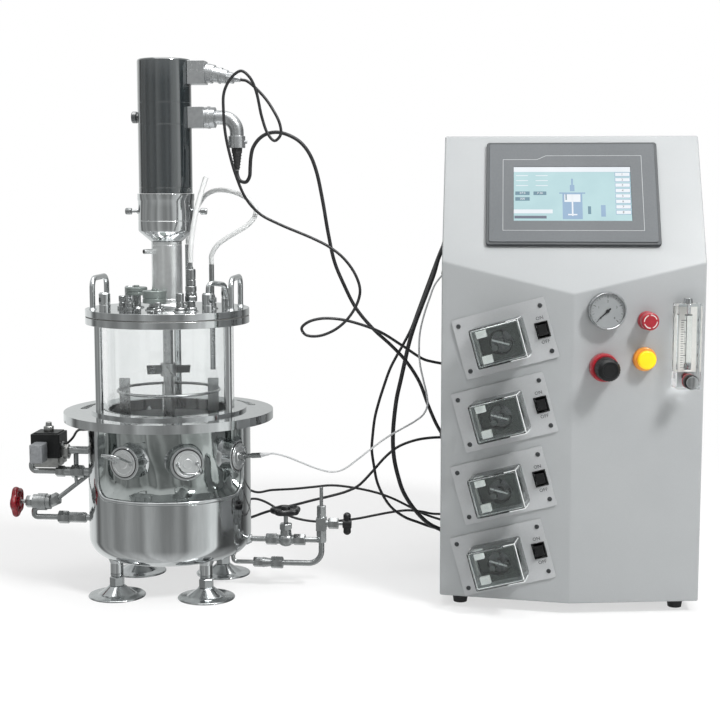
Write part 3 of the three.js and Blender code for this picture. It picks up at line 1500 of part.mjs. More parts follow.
function gaugeNeedle() {
  const length = GAUGE_RADIUS - 8;
  const hub = rod([0, 0, 0], [0, -1, 0], 2.4);
  const points = [[-5, -1], [-5, 1], [0, 1.1], [length, 0.35], [length, -0.35], [0, -1.1]];
  const options = { depth: 0.8, bevelEnabled: false };
  const blade = new THREE.ExtrudeGeometry(outline(points), options).rotateX(Math.PI / 2);
  blade.translate(0, -0.1, 0);
  return join(hub, toSolid(blade));
}

// a push button about its stem, head out of the collar by its travel
function pushButton(radius, head) {
  const seat = -COLLAR_PROUD - BUTTON_TRAVEL - 0.5;
  return join(
    rod([0, 14, 0], [0, seat - 1, 0], BUTTON_STEM),
    rod([0, seat, 0], [0, seat - head + 2, 0], radius),
    rod([0, seat - head + 2, 0], [0, seat - head, 0], radius, 0, radius - 2),
  );
}

function regulatorKnob() {
  const back = -13 - GAP;
  const stem = rod([0, 18, 0], [0, back - 1, 0], REGULATOR_STEM);
  const grip = rod([0, back, 0], [0, back - 23, 0], REGULATOR_KNOB);
  const nose = rod([0, back - 22, 0], [0, back - 25, 0], REGULATOR_KNOB - 1, 0, REGULATOR_KNOB - 4);
  return join(stem, grip, nose);
}

const FLOAT_BORE = FLOAT_RADIUS + 0.8;
const FLOAT_LOW = -30;

function rotameter() {
  const [x, z] = ROTAMETER_AT;
  const body = plate(ROTAMETER_WIDTH, ROTAMETER_HEIGHT, ROTAMETER_DEPTH, 2, -GAP - ROTAMETER_DEPTH);
  const placed = toSolid(toGeometry(body).translate(x, 0, z));
  const middle = -GAP - ROTAMETER_DEPTH / 2;
  const bottom = z + FLOAT_LOW - GAP;
  const top = z + FLOAT_LOW + FLOAT_HEIGHT + FLOAT_TRAVEL + 2;
  const chamber = rod([x, middle, bottom], [x, middle, top], FLOAT_BORE);
  const outlet = rod([x, middle, top - 1], [x, middle, z + ROTAMETER_HEIGHT / 2 + 8], 2);
  const plug = rod([x, middle, z + ROTAMETER_HEIGHT / 2 - 1], [x, middle, z + ROTAMETER_HEIGHT / 2 + 6], 6);
  const stubs = [-40, 40].map((drop) => rod([x, -GAP - 1, z + drop], [x, 16, z + drop], 5));
  const knobZ = z - ROTAMETER_KNOB_DROP;
  const front = -GAP - ROTAMETER_DEPTH;
  const collar = rod([x, front + 1, knobZ], [x, front - 3, knobZ], ROTAMETER_KNOB);
  const seat = rod([x, front + 8, knobZ], [x, front - 5, knobZ], 3 + GAP);
  return cut(join(placed, plug, ...stubs, collar), chamber, outlet, seat);
}

function rotameterKnob() {
  return join(
    rod([0, 6, 0], [0, -1, 0], 3),
    rod([0, 0, 0], [0, -13, 0], ROTAMETER_KNOB, 0, ROTAMETER_KNOB - 0.8),
  );
}

// -------------------------------------------------------------------- the unit

const group = new THREE.Group();
group.name = 'bench_bioreactor';

const vessel = new THREE.Group();
group.add(vessel);

piece('vessel_body', vesselBody(), polished(), vessel);
const footSolid = foot();
for (const [name, x, y] of legPlaces()) {
  piece(name, footSolid, steel(), vessel, [x, y, 0]);
}
piece('glass_cylinder', washer(GLASS_INNER, GLASS_RADIUS, GLASS_BOTTOM, GLASS_TOP),
  material(0xe8eef0, 0.03, 0, { transparent: true, opacity: 0.25 }), vessel);
piece('upper_ring', upperRing(), polished(), vessel);
piece('lid_gasket', washer(RING_INNER, RING_OUTER - 0.5, GASKET_BOTTOM, GASKET_BOTTOM + GASKET_THICKNESS),
  material(0xd8d6cf, 0.7, 0), vessel);
piece('lid', lid(), polished(), vessel);
piece('condenser', condenser(), steel(), vessel);
piece('dip_tube', dipTube(), steel(), vessel);
piece('stirrer_column', stirrerColumn(), polished(), vessel);
piece('motor_adaptor', motorAdaptor(), steel(), vessel);
piece('motor_housing', motorHousing(), glossBlack(), vessel);
piece('top_connector', topConnector(), steel(), vessel);
piece('elbow_connector', elbowConnector(), steel(), vessel);
piece('agitator', agitator(), steel(), vessel);
piece('baffle_cage', baffleCage(), steel(), vessel);
piece('solenoid_valve', solenoidValve(), darkPlastic(), vessel);
piece('outlet_pipework', outletPipework(), steel(), vessel);
piece('steam_valve', steamValve(), steel(), vessel);

const probeTip = probeLine(PROBE_REACH);
const probe = join(
  rod(probeLine(POT_RADIUS - 12), probeLine(PROBE_REACH - 12), PROBE_RADIUS),
  rod(probeLine(PORT_FACE + 3), probeLine(PORT_FACE + 9), PROBE_RADIUS + 3, 6),
  rod(probeLine(PROBE_REACH - 14), probeTip, PROBE_RADIUS + 0.6),
);
piece('side_probe', probe, steel(), vessel);

const redWheel = piece('red_handwheel', handWheel(STEM_RADIUS, WHEEL_THICKNESS),
  material(0xa3141b, 0.4, 0.1), vessel, RED_WHEEL);
redWheel.rotation.y = -Math.PI / 2;
piece('black_handwheel', handWheel(STEM_RADIUS, WHEEL_THICKNESS), glossBlack(), vessel, BLACK_WHEEL);
piece('sample_handle', sampleHandle(), glossBlack(), vessel, SAMPLE_HANDLE);

const cabinet = new THREE.Group();
cabinet.position.set(CABINET_X, CABINET_Y, 0);
group.add(cabinet);

const leftFace = new THREE.Group();
leftFace.position.set(-HALF_WIDTH / 2, -CABINET_RIDGE / 2, 0);
leftFace.rotation.z = -FACE_ANGLE;
cabinet.add(leftFace);

const rightFace = new THREE.Group();
rightFace.position.set(HALF_WIDTH / 2, -CABINET_RIDGE / 2, 0);
rightFace.rotation.z = FACE_ANGLE;
cabinet.add(rightFace);

const slopeFace = new THREE.Group();
slopeFace.position.set(0, SLOPE_RUN * (PANEL_Z - SLOPE_START), PANEL_Z);
slopeFace.rotation.x = -SLOPE_ANGLE;
cabinet.add(slopeFace);

const pumpGroups = PUMP_HEIGHTS.map((z) => {
  const pump = new THREE.Group();
  pump.position.set(PUMP_ALONG, 0, z);
  pump.rotation.y = degrees(PUMP_TILT);
  leftFace.add(pump);
  return pump;
});

for (const frame of [leftFace, rightFace, slopeFace, ...pumpGroups]) {
  frame.updateMatrix();
}
const frames = {
  right: rightFace.matrix,
  slope: slopeFace.matrix,
  pumps: pumpGroups.map((pump) => leftFace.matrix.clone().multiply(pump.matrix)),
};
piece('cabinet_shell', cabinetShell(frames), greyPaint(), cabinet);
piece('touch_panel', touchPanel(), darkPlastic(), slopeFace);

const moduleSolid = pumpModule();
const coverSolid = pumpCover();
const rotorSolid = pumpRotor();
const rockerSolid = rockerSwitch();
pumpGroups.forEach((pump, i) => {
  const number = i + 1;
  piece(`pump_module_${number}`, moduleSolid, greyPaint(), pump);
  piece(`pump_cover_${number}`, coverSolid, clearPlastic(), pump, [HINGE_X, HINGE_Y, COVER_Z]);
  piece(`pump_rotor_${number}`, rotorSolid, steel(), pump, [COVER_X, ROTOR_FLOOR, COVER_Z]);
  piece(`rocker_switch_${number}`, rockerSolid, darkPlastic(), pump, [ROCKER_X, PLATE_FRONT, ROCKER_Z]);
});

piece('pressure_gauge', pressureGauge(), material(0xe9ebec, 0.35, 0.2), rightFace);
const needleAt = [GAUGE_AT[0], NEEDLE_Y, GAUGE_AT[1]];
const needle = piece('gauge_needle', gaugeNeedle(), darkPlastic(), rightFace, needleAt);
needle.rotation.y = degrees(138);
piece('stop_button', pushButton(STOP_RADIUS, 10), material(0xb3121d, 0.35, 0), rightFace,
  [STOP_AT[0], 0, STOP_AT[1]]);
piece('lamp_button', pushButton(LAMP_RADIUS, 6), material(0xf2b705, 0.3, 0), rightFace,
  [LAMP_AT[0], 0, LAMP_AT[1]]);
piece('regulator_knob', regulatorKnob(), darkPlastic(), rightFace,
  [REGULATOR_AT[0], 0, REGULATOR_AT[1]]);
piece('rotameter', rotameter(), clearPlastic(), rightFace);
const float = rod([0, 0, 0], [0, 0, FLOAT_HEIGHT], FLOAT_RADIUS - 1.5, 0, FLOAT_RADIUS);
piece('rotameter_float', float, steel(), rightFace,
  [ROTAMETER_AT[0], -GAP - ROTAMETER_DEPTH / 2, ROTAMETER_AT[1] + FLOAT_LOW]);
piece('rotameter_knob', rotameterKnob(), darkPlastic(), rightFace,
  [ROTAMETER_AT[0], -GAP - ROTAMETER_DEPTH - 3 - GAP, ROTAMETER_AT[1] - ROTAMETER_KNOB_DROP]);

// the origin goes to the middle of the footprint of everything but the cords
group.updateMatrixWorld(true);
const box = new THREE.Box3().setFromObject(group, true);
const middle = box.getCenter(new THREE.Vector3());

const cords = new THREE.Group();
piece('signal_cable', hose(SIGNAL_CABLE, 4, 50), cable(), cords);
piece('motor_cable', hose(MOTOR_CABLE, 5, 32), cable(), cords);
piece('bundle_cable', hose(BUNDLE_CABLE, 6, 18), cable(), cords);
piece('sensor_cable', hose(SENSOR_CABLE, 4, 22), cable(), cords);
piece('heater_cable', hose(HEATER_CABLE, 4, 18), cable(), cords);
piece('valve_cable', hose(VALVE_CABLE, 3.5, 26), cable(), cords);
piece('temperature_cable', hose(TEMPERATURE_CABLE, 3.5, 18), cable(), cords);
piece('electrode_cable', hose(ELECTRODE_CABLE, 2.6, 26), material(0xe4e6e6, 0.6, 0), cords);
piece('silicone_hose', hose(SILICONE_HOSE, 6.5, 16), material(0xe6e8e6, 0.35, 0), cords);
group.add(cords);

for (const child of group.children) {
  child.position.x -= middle.x;
  child.position.y -= middle.y;
}

export default group;
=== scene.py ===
import json
import math

import bmesh
import bpy
from mathutils import Matrix, Vector


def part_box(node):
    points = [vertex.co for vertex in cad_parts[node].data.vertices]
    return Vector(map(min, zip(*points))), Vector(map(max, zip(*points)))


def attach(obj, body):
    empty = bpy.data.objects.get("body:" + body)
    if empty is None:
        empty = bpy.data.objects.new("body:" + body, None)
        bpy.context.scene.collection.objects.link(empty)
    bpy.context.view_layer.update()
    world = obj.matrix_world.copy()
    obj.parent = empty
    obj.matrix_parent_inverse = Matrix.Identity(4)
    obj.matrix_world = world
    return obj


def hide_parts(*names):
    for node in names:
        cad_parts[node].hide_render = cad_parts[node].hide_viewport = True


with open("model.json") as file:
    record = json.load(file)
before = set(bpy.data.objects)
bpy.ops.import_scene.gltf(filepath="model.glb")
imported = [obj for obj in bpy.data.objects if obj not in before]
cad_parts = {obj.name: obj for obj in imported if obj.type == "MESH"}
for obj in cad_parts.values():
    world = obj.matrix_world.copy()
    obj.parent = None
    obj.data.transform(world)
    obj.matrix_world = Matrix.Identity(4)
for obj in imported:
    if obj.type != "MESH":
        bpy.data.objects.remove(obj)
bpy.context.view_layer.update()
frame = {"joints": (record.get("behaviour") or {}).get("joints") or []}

# The camera stands back from the bench at the height of the lid. It looks
# slightly down and to the left, so both front faces of the cabinet show.
scene = bpy.context.scene
camera_data = bpy.data.cameras.new("camera")
camera_data.lens, camera_data.sensor_width = 72.5, 36
camera = bpy.data.objects.new("camera", camera_data)
camera.location = (0.1927, -2.0489, 0.552)
camera.rotation_euler = (math.radians(83.35), 0, math.radians(5))
scene.collection.objects.link(camera)
scene.camera = camera
scene.view_settings.view_transform = "Standard"

# The cables are round flexible leads in a matt black sheath, and one thin
# white electrode lead. Each leaves a plug or a gland and sags to the cabinet.
# The clear silicone hose bends over from the vent pipe to the dip tube.


def node(tree, kind, inputs=(), **settings):
    """A node with its settings. Each input takes a value, or the (node, output) that feeds it."""
    made = tree.nodes.new(kind)
    for setting, value in settings.items():
        setattr(made, setting, value)
    for socket, value in dict(inputs).items():
        if isinstance(value, tuple) and isinstance(value[0], bpy.types.Node):
            tree.links.new(value[0].outputs[value[1]], made.inputs[socket])
        else:
            made.inputs[socket].default_value = value
    return made


def surface_group():
    """A node group of the small variations in colour, gloss and relief of a handled surface."""
    group = bpy.data.node_groups.new("handled_surface", "ShaderNodeTree")
    for name, kind, value in (
        ("Light", "Color", (0.8, 0.8, 0.8, 1)), ("Dark", "Color", (0.5, 0.5, 0.5, 1)), ("Grain", "Vector", (1, 1, 1)),
        ("Scale", "Float", 60.0), ("Smooth", "Float", 0.2), ("Rough", "Float", 0.4), ("Relief", "Float", 0.1),
    ):
        socket = group.interface.new_socket(name, in_out="INPUT", socket_type="NodeSocket" + kind)
        socket.default_value = value
    for name, kind in (("Colour", "Color"), ("Roughness", "Float"), ("Normal", "Vector")):
        group.interface.new_socket(name, in_out="OUTPUT", socket_type="NodeSocket" + kind)
    given = node(group, "NodeGroupInput")
    place = node(group, "ShaderNodeTexCoord")
    stretch = node(group, "ShaderNodeVectorMath", {0: (place, "Object"), 1: (given, "Grain")}, operation="MULTIPLY")
    fine = node(group, "ShaderNodeTexNoise", {"Detail": 4, "Vector": (stretch, 0), "Scale": (given, "Scale")})
    broad = node(group, "ShaderNodeTexNoise", {"Scale": 9, "Vector": (place, "Object")})
    both = node(group, "ShaderNodeMath", {0: (fine, "Fac"), 1: (broad, "Fac")}, operation="ADD")
    spread = node(group, "ShaderNodeMapRange", {"From Min": 0.7, "From Max": 1.3, "Value": (both, 0)})
    tone = node(
        group, "ShaderNodeMix", {"Factor": (spread, "Result"), "A": (given, "Light"), "B": (given, "Dark")},
        data_type="RGBA",
    )
    gloss = node(
        group, "ShaderNodeMapRange",
        {"Value": (spread, "Result"), "To Min": (given, "Smooth"), "To Max": (given, "Rough")},
    )
    bump = node(group, "ShaderNodeBump", {"Distance": 0.0004, "Strength": (given, "Relief"), "Height": (fine, "Fac")})
    node(
        group, "NodeGroupOutput",
        {"Colour": (tone, "Result"), "Roughness": (gloss, "Result"), "Normal": (bump, "Normal")},
    )
    return group


HANDLED_SURFACE = surface_group()


def finish(name, light, dark, smooth, rough, grain=(1, 1, 1), scale=60, relief=0.1, **plain):
    """A material whose colour, gloss and relief vary a little over the surface."""
    made = bpy.data.materials.new(name)
    made.use_nodes = True
    tree = made.node_tree
    shader = tree.nodes["Principled BSDF"]
    surface = node(
        tree, "ShaderNodeGroup",
        {
            "Light": (*light, 1), "Dark": (*dark, 1), "Grain": grain, "Scale": scale, "Smooth": smooth,
            "Rough": rough, "Relief": relief,
        },
        node_tree=HANDLED_SURFACE,
    )
    for output, socket in (("Colour", "Base Color"), ("Roughness", "Roughness"), ("Normal", "Normal")):
        tree.links.new(surface.outputs[output], shader.inputs[socket])
    for socket, value in plain.items():
        shader.inputs[socket.replace("_", " ")].default_value = value
    return made


def smooth_route(points, steps=6):
    """The points of an even curve through given points."""
    known = [Vector(point) for point in points]
    known = [2 * known[0] - known[1], *known, 2 * known[-1] - known[-2]]
    route = [known[1]]
    for p0, p1, p2, p3 in zip(known, known[1:], known[2:], known[3:]):
        d0, d1, d2 = ((b - a).length ** 0.5 for a, b in ((p0, p1), (p1, p2), (p2, p3)))
        leave = d1 * ((p1 - p0) / d0 - (p2 - p0) / (d0 + d1) + (p2 - p1) / d1)
        arrive = d1 * ((p2 - p1) / d1 - (p3 - p1) / (d1 + d2) + (p3 - p2) / d2)
        for step in range(1, steps + 1):
            t = step / steps
            route.append(
                (2 * t**3 - 3 * t**2 + 1) * p1 + (t**3 - 2 * t**2 + t) * leave
                + (3 * t**2 - 2 * t**3) * p2 + (t**3 - t**2) * arrive
            )
    return route


def strung(name, route, radius, detail=5, caps=True):
    """A curve of round section through every point of a route."""
    curve = bpy.data.curves.new(name, "CURVE")
    curve.dimensions, curve.bevel_depth, curve.bevel_resolution, curve.use_fill_caps = "3D", radius, detail, caps
    line = curve.splines.new("POLY")
    line.points.add(len(route) - 1)
    for spot, point in zip(line.points, route):
        spot.co = (*point, 1)
    line.use_smooth = True
    drawn = bpy.data.objects.new(name + "_run", curve)
    scene.collection.objects.link(drawn)
    return drawn


def lay_cord(name, points, diameter, material):
    """A round cord along its route, in place of the solid of the same name."""
    route = smooth_route(points)
    cord = strung(name, route, diameter / 2, 4)
    cord.data.materials.append(material)
    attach(cord, "station")
    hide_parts(name)


sheath_black = finish(
    "black_cable_sheath", (0.014, 0.014, 0.015), (0.024, 0.024, 0.026), 0.34, 0.52, scale=220, relief=0.12,
)
sheath_white = finish("white_electrode_lead", (0.5, 0.51, 0.51), (0.42, 0.43, 0.44), 0.38, 0.5, scale=200)
silicone = finish(
    "clear_silicone", (0.72, 0.735, 0.73), (0.64, 0.655, 0.65), 0.3, 0.4, relief=0,
    Subsurface_Weight=0.3, Subsurface_Radius=(0.004, 0.004, 0.004),
)
SHEATHS = {"electrode_cable": (sheath_white, "cable_white"), "silicone_hose": (silicone, "silicone_clear")}
# diameter, stiffness and route of each, in millimetres
CORDS = {
    "signal_cable": (
        4, "medium",
        [
            (-140.6, -82.6, 701), (-132.6, -83.1, 699.3), (-109.6, -87.6, 679), (-94.6, -91.6, 658),
            (-86.6, -92.6, 641), (-85.6, -93.6, 627), (-93.6, -94.6, 619), (-102.6, -94.6, 628), (-110.6, -94.6, 650),
            (-117.6, -99.6, 685), (-125.6, -103.6, 703), (-136.6, -105.6, 711), (-149.6, -106.6, 702),
            (-159.6, -106.6, 683), (-160.6, -106.6, 657), (-158.6, -106.6, 630), (-153.6, -103.6, 602),
            (-145.6, -99.6, 572), (-133.6, -93.6, 542), (-115.6, -87.6, 521), (-89.6, -83.6, 507),
            (-45.6, -75.6, 488), (-22.6, -71.6, 476), (-3.6, -69.6, 461), (12.4, -67.6, 439), (19.4, -67.6, 417),
            (15.4, -69.6, 398), (2.4, -73.6, 377), (-15.6, -77.6, 362), (-37.6, -79.6, 354), (-54.6, -81.6, 356),
            (-59.6, -83.6, 365), (-51.6, -83.6, 373), (-34.6, -79.6, 378), (-10.6, -71.6, 377), (15.4, -59.6, 370),
            (45.4, -43.6, 357), (75.4, -24.6, 336), (103.4, -2.6, 315), (118.4, 12.4, 309), (129.9, 20.4, 306),
        ],
    ),
    "motor_cable": (
        5, "medium",
        [
            (-147.6, -79.6, 580), (-147.6, -79.6, 575), (-143.6, -80.6, 566), (-135.6, -80.6, 564),
            (-130.6, -80.6, 571), (-129.6, -79.6, 584), (-128.6, -79.6, 597), (-125.6, -79.6, 610),
            (-117.6, -77.6, 622), (-106.6, -77.6, 629), (-91.6, -77.6, 631), (-76.6, -77.6, 627), (-61.6, -75.6, 618),
            (-49.6, -73.6, 603), (-40.6, -69.6, 580), (-32.6, -63.6, 540), (-25.6, -57.6, 495), (-17.6, -51.6, 455),
            (-5.6, -45.6, 424), (11.4, -37.6, 389), (35.4, -29.6, 359), (59.4, -21.6, 336), (80.4, -11.6, 312),
            (98.4, -1.6, 282), (110.4, 8.4, 248), (121.4, 18.4, 220), (129.9, 26.4, 203),
        ],
    ),
    "bundle_cable": (
        6, "medium",
        [
            (129.9, 70.4, 472), (122.4, 66.4, 455), (116.4, 58.4, 433), (107.4, 48.4, 408), (98.4, 38.4, 384),
            (89.4, 28.4, 359), (82.4, 20.4, 335), (76.4, 12.4, 307), (71.4, 6.4, 283), (66.4, 2.4, 260),
            (63.4, -1.6, 237), (61.4, -3.6, 212), (61.4, -5.6, 189), (63.4, -5.6, 169), (68.4, -3.6, 146),
            (75.4, 0.4, 123), (87.4, 6.4, 101), (101.4, 14.4, 82), (114.4, 23.4, 69), (129.9, 30.4, 60),
        ],
    ),
    "sensor_cable": (
        4, "medium",
        [
            (129.9, 92.4, 478), (122.4, 87.4, 460), (114.4, 76.4, 438), (104.4, 62.4, 410), (93.4, 50.4, 379),
            (84.4, 40.4, 354), (73.4, 31.4, 332), (63.4, 23.4, 314), (55.4, 17.4, 298), (46.4, 11.4, 272),
            (39.4, 7.4, 249), (34.4, 4.4, 228), (31.4, 2.4, 202), (30.4, 0.4, 183), (33.4, 0.4, 160),
            (38.4, 2.4, 134), (48.4, 6.4, 111), (59.4, 11.4, 95), (77.4, 20.4, 80), (96.4, 32.4, 70),
            (113.4, 45.4, 61), (129.9, 54.4, 55),
        ],
    ),
    "heater_cable": (
        4, "medium",
        [
            (-232.3, 60.4, 44), (-222.6, 60.4, 44), (-208.6, 61.4, 46), (-182.6, 57.4, 57), (-150.6, 42.4, 71),
            (-124.6, 28.4, 83), (-100.6, 19.4, 91), (-78.6, 13.4, 98), (-55.6, 10.4, 105), (-28.6, 10.4, 112),
            (-7.6, 13.4, 118), (9.4, 17.4, 126), (29.4, 24.4, 146), (47.4, 32.4, 166), (65.4, 40.4, 180),
            (89.4, 52.4, 188), (110.4, 64.4, 190), (129.9, 72.4, 190),
        ],
    ),
    "valve_cable": (
        3.5, "medium",
        [
            (-394.3, -89.6, 201), (-390.1, -89.2, 201.6), (-384.6, -83.6, 207), (-383.6, -61.6, 214),
            (-383.6, -19.6, 209), (-360.6, 32.4, 203), (-308.6, 66.4, 192), (-249.6, 76.4, 168), (-194.6, 72.4, 130),
            (-149.6, 56.4, 106), (-121.6, 42.4, 112), (-86.6, 30.4, 117), (-58.6, 26.4, 121), (-30.6, 26.4, 124),
            (-0.6, 28.4, 121), (35.4, 36.4, 112), (58.4, 40.4, 103), (79.4, 48.4, 91), (99.4, 60.4, 78),
            (114.4, 70.4, 70), (129.9, 76.4, 64),
        ],
    ),
    "temperature_cable": (
        3.5, "medium",
        [
            (-232.3, 60.4, 68), (-222.6, 60.4, 68), (-208.6, 59.4, 71), (-180.6, 51.4, 84), (-149.6, 34.4, 100),
            (-128.6, 21.4, 99), (-100.6, 10.4, 86), (-85.6, 6.4, 80), (-65.6, 4.4, 76), (-42.6, 2.4, 75),
            (-16.6, 2.4, 77), (10.4, 6.4, 80), (36.4, 14.4, 84), (59.4, 22.4, 87), (80.4, 30.4, 88),
            (101.4, 41.4, 84), (115.4, 47.4, 80), (129.9, 50.4, 79),
        ],
    ),
    "electrode_cable": (
        2.6, "limp",
        [
            (-104.6, -128.6, 197), (-93.6, -126.6, 198), (-76.6, -120.6, 193), (-56.6, -114.6, 184),
            (-35.6, -109.6, 175), (-16.6, -105.6, 170), (-0.6, -101.6, 173), (19.4, -97.6, 187), (37.4, -93.6, 201),
            (58.4, -87.6, 216), (78.4, -79.6, 227), (95.4, -71.6, 236), (107.4, -63.6, 245), (112.4, -57.6, 257),
            (111.4, -53.6, 270), (106.4, -49.6, 290), (101.4, -43.6, 311), (99.4, -37.6, 332), (100.4, -29.6, 356),
            (105.4, -21.6, 379), (112.4, -11.6, 401), (119.4, 2.4, 420), (129.9, 13.4, 434),
        ],
    ),
    "silicone_hose": (
        6.5, "medium",
        [
            (-225.1, -39.6, 478.3), (-225.1, -39.6, 484), (-224.6, -37.6, 496), (-220.6, -34.6, 512),
            (-210.6, -36.6, 532), (-196.6, -46.6, 547), (-180.6, -55.6, 553), (-162.6, -61.6, 552),
            (-145.6, -67.6, 547), (-131.6, -73.6, 539), (-122.6, -78.6, 528), (-123.6, -82.6, 517),
            (-132.6, -85.6, 506), (-146.6, -87.6, 497), (-161.6, -88.6, 488), (-174.6, -89.6, 478),
            (-182.6, -89.6, 464), (-182.6, -89.6, 458), (-182.6, -89.6, 452.6),
        ],
    ),
}
for name, (diameter, stiffness, route) in CORDS.items():
    points = [tuple(round(place / 1000, 7) for place in point) for point in route]
    sheath, slot = SHEATHS.get(name, (sheath_black, "cable_black"))
    lay_cord(name, points, diameter / 1000, sheath)

# The pot is one welded stainless shell with a heating jacket round it, turned
# and polished to a mirror. A wide flange with two long slots carries the glass
# section, and the jacket is cut back in front, its edge rolled over.


def moved(x=0, y=0, z=0):
    """A shift."""
    return Matrix.Translation((x, y, z))


def spun(angle, axis):
    """A turn in degrees round one axis."""
    return Matrix.Rotation(math.radians(angle), 4, axis)


def facing(along):
    """The turn that points local Z along a direction."""
    return along.to_track_quat("Z", "Y").to_matrix().to_4x4()


def turned(bm, profile, steps=96, ring=False, place=Matrix()):
    """Spins a line of (radius, height) points round Z; a ring's line closes on itself."""
    points = [bm.verts.new((radius, 0, height)) for radius, height in profile]
    following = points[1:] + points[:1] if ring else points[1:]
    edges = [bm.edges.new(pair) for pair in zip(points, following)]
    bmesh.ops.spin(
        bm, geom=points + edges, cent=(0, 0, 0), axis=(0, 0, 1), angle=2 * math.pi, steps=steps, use_merge=True,
    )
    bm.verts.ensure_lookup_table()
    corners = linked(points[0])
    bmesh.ops.transform(bm, matrix=place, verts=corners)
    return corners


def linked(vert):
    """Every corner joined by edges to one corner."""
    found, waiting = {vert}, [vert]
    while waiting:
        for edge in waiting.pop().link_edges:
            for other in edge.verts:
                if other not in found:
                    found.add(other)
                    waiting.append(other)
    return list(found)


def bar(bm, start, end, radius, end_radius=None, sides=32):
    """A round bar or cone between two points."""
    start, end = Vector(start), Vector(end)
    along = end - start
    turn = facing(along)
    return bmesh.ops.create_cone(
        bm, cap_ends=True, cap_tris=False, segments=sides, radius1=radius,
        radius2=radius if end_radius is None else end_radius, depth=along.length,
        matrix=Matrix.Translation((start + end) / 2) @ turn,
    )["verts"]


def hexagon(bm, start, end, across):
    """A hexagonal nut between two points, both ends chamfered."""
    start, end = Vector(start), Vector(end)
    along = end - start
    radius, length = across / math.sqrt(3), along.length
    chamfer = min(1.2, length / 4)
    turn = facing(along)
    turned(
        bm,
        [
            (0, 0), (radius * 0.9, 0), (radius, chamfer), (radius, length - chamfer),
            (radius * 0.9, length), (0, length),
        ],
        6, place=Matrix.Translation(start) @ turn @ spun(90, "Z"),
    )


def box(bm, low, high, place=Matrix()):
    """A rectangular block between two corners."""
    low, high = Vector(low), Vector(high)
    size = Matrix.Diagonal((*(high - low), 1))
    return bmesh.ops.create_cube(bm, size=1, matrix=place @ Matrix.Translation((low + high) / 2) @ size)["verts"]


def pipe(bm, corners, bend, radius, sides=24, arc_steps=8):
    """A round tube through corners, each bent to one radius."""
    path = [Vector(corner) for corner in corners]
    heading = (path[1] - path[0]).normalized()
    turn = facing(heading)
    verts = bmesh.ops.create_circle(
        bm, cap_ends=True, radius=radius, segments=sides, matrix=Matrix.Translation(path[0]) @ turn,
    )["verts"]
    here = path[0]
    for i in range(1, len(path)):
        heading = (path[i] - path[i - 1]).normalized()
        last = i == len(path) - 1
        ahead = heading if last else (path[i + 1] - path[i]).normalized()
        angle = heading.angle(ahead)
        reach = 0 if last else bend * math.tan(angle / 2)
        stop = path[i] - heading * reach
        rim = [e for e in {e for v in verts for e in v.link_edges} if all(v in verts for v in e.verts)]
        grown = bmesh.ops.extrude_edge_only(bm, edges=rim)["geom"]
        verts = [part for part in grown if isinstance(part, bmesh.types.BMVert)]
        bmesh.ops.translate(bm, verts=verts, vec=stop - here)
        here = stop
        if last or angle < 0.001:
            continue
        axis = heading.cross(ahead).normalized()
        centre = stop + axis.cross(heading) * bend
        rim = [e for e in {e for v in verts for e in v.link_edges} if all(v in verts for v in e.verts)]
        swept = bmesh.ops.spin(bm, geom=rim, cent=centre, axis=axis, angle=angle, steps=arc_steps)["geom_last"]
        verts = [part for part in swept if isinstance(part, bmesh.types.BMVert)]
        here = path[i] + ahead * reach
    rim = [e for e in {e for v in verts for e in v.link_edges} if all(v in verts for v in e.verts)]
    bmesh.ops.contextual_create(bm, geom=rim)


def carved(bm, tool):
    """A closed shape with another taken out of it."""
    shapes = []
    for part in (bm, tool):
        bmesh.ops.recalc_face_normals(part, faces=part.faces)
        mesh = bpy.data.meshes.new("blank")
        part.to_mesh(mesh)
        part.free()
        shapes.append(bpy.data.objects.new("blank", mesh))
        scene.collection.objects.link(shapes[-1])
    blank, cutter = shapes
    cut = blank.modifiers.new("cut", "BOOLEAN")
    cut.operation, cut.solver, cut.use_self, cut.object = "DIFFERENCE", "EXACT", True, cutter
    evaluated = blank.evaluated_get(bpy.context.evaluated_depsgraph_get())
    left = bmesh.new()
    left.from_mesh(evaluated.to_mesh())
    for shape in shapes:
        mesh = shape.data
        bpy.data.objects.remove(shape)
        bpy.data.meshes.remove(mesh)
    return left


def run(bm, axis, across, *lengths):
    """Bars in line along an axis: start, end, radius, end radius, sides; or start, end, width, "hex"."""
    for start, end, size, *more in lengths:
        ends = [list(across), list(across)]
        for spot, place in zip(ends, (start, end)):
            spot.insert("xyz".index(axis), place)
        if more == ["hex"]:
            hexagon(bm, *ends, size)
        else:
            bar(bm, *ends, size, *more)


def pushed(bm, faces, shift):
    """Faces drawn out into a solid by a shift."""
    grown = bmesh.ops.extrude_face_region(bm, geom=faces)["geom"]
    bmesh.ops.translate(bm, verts=[part for part in grown if isinstance(part, bmesh.types.BMVert)], vec=shift)


def new_shape(maker, *given, **more):
    """A shape with one part in it."""
    bm = bmesh.new()
    maker(bm, *given, **more)
    return bm


def as_shape(drawn):
    """The solid shape of a drawn curve, which goes."""
    shape = bmesh.new()
    shape.from_mesh(drawn.evaluated_get(bpy.context.evaluated_depsgraph_get()).to_mesh())
    bpy.data.objects.remove(drawn)
    return shape


def merged(bm, other):
    """Adds another shape's faces to a shape."""
    mesh = bpy.data.meshes.new("part")
    other.to_mesh(mesh)
    other.free()
    bm.from_mesh(mesh)
    bpy.data.meshes.remove(mesh)
    return bm


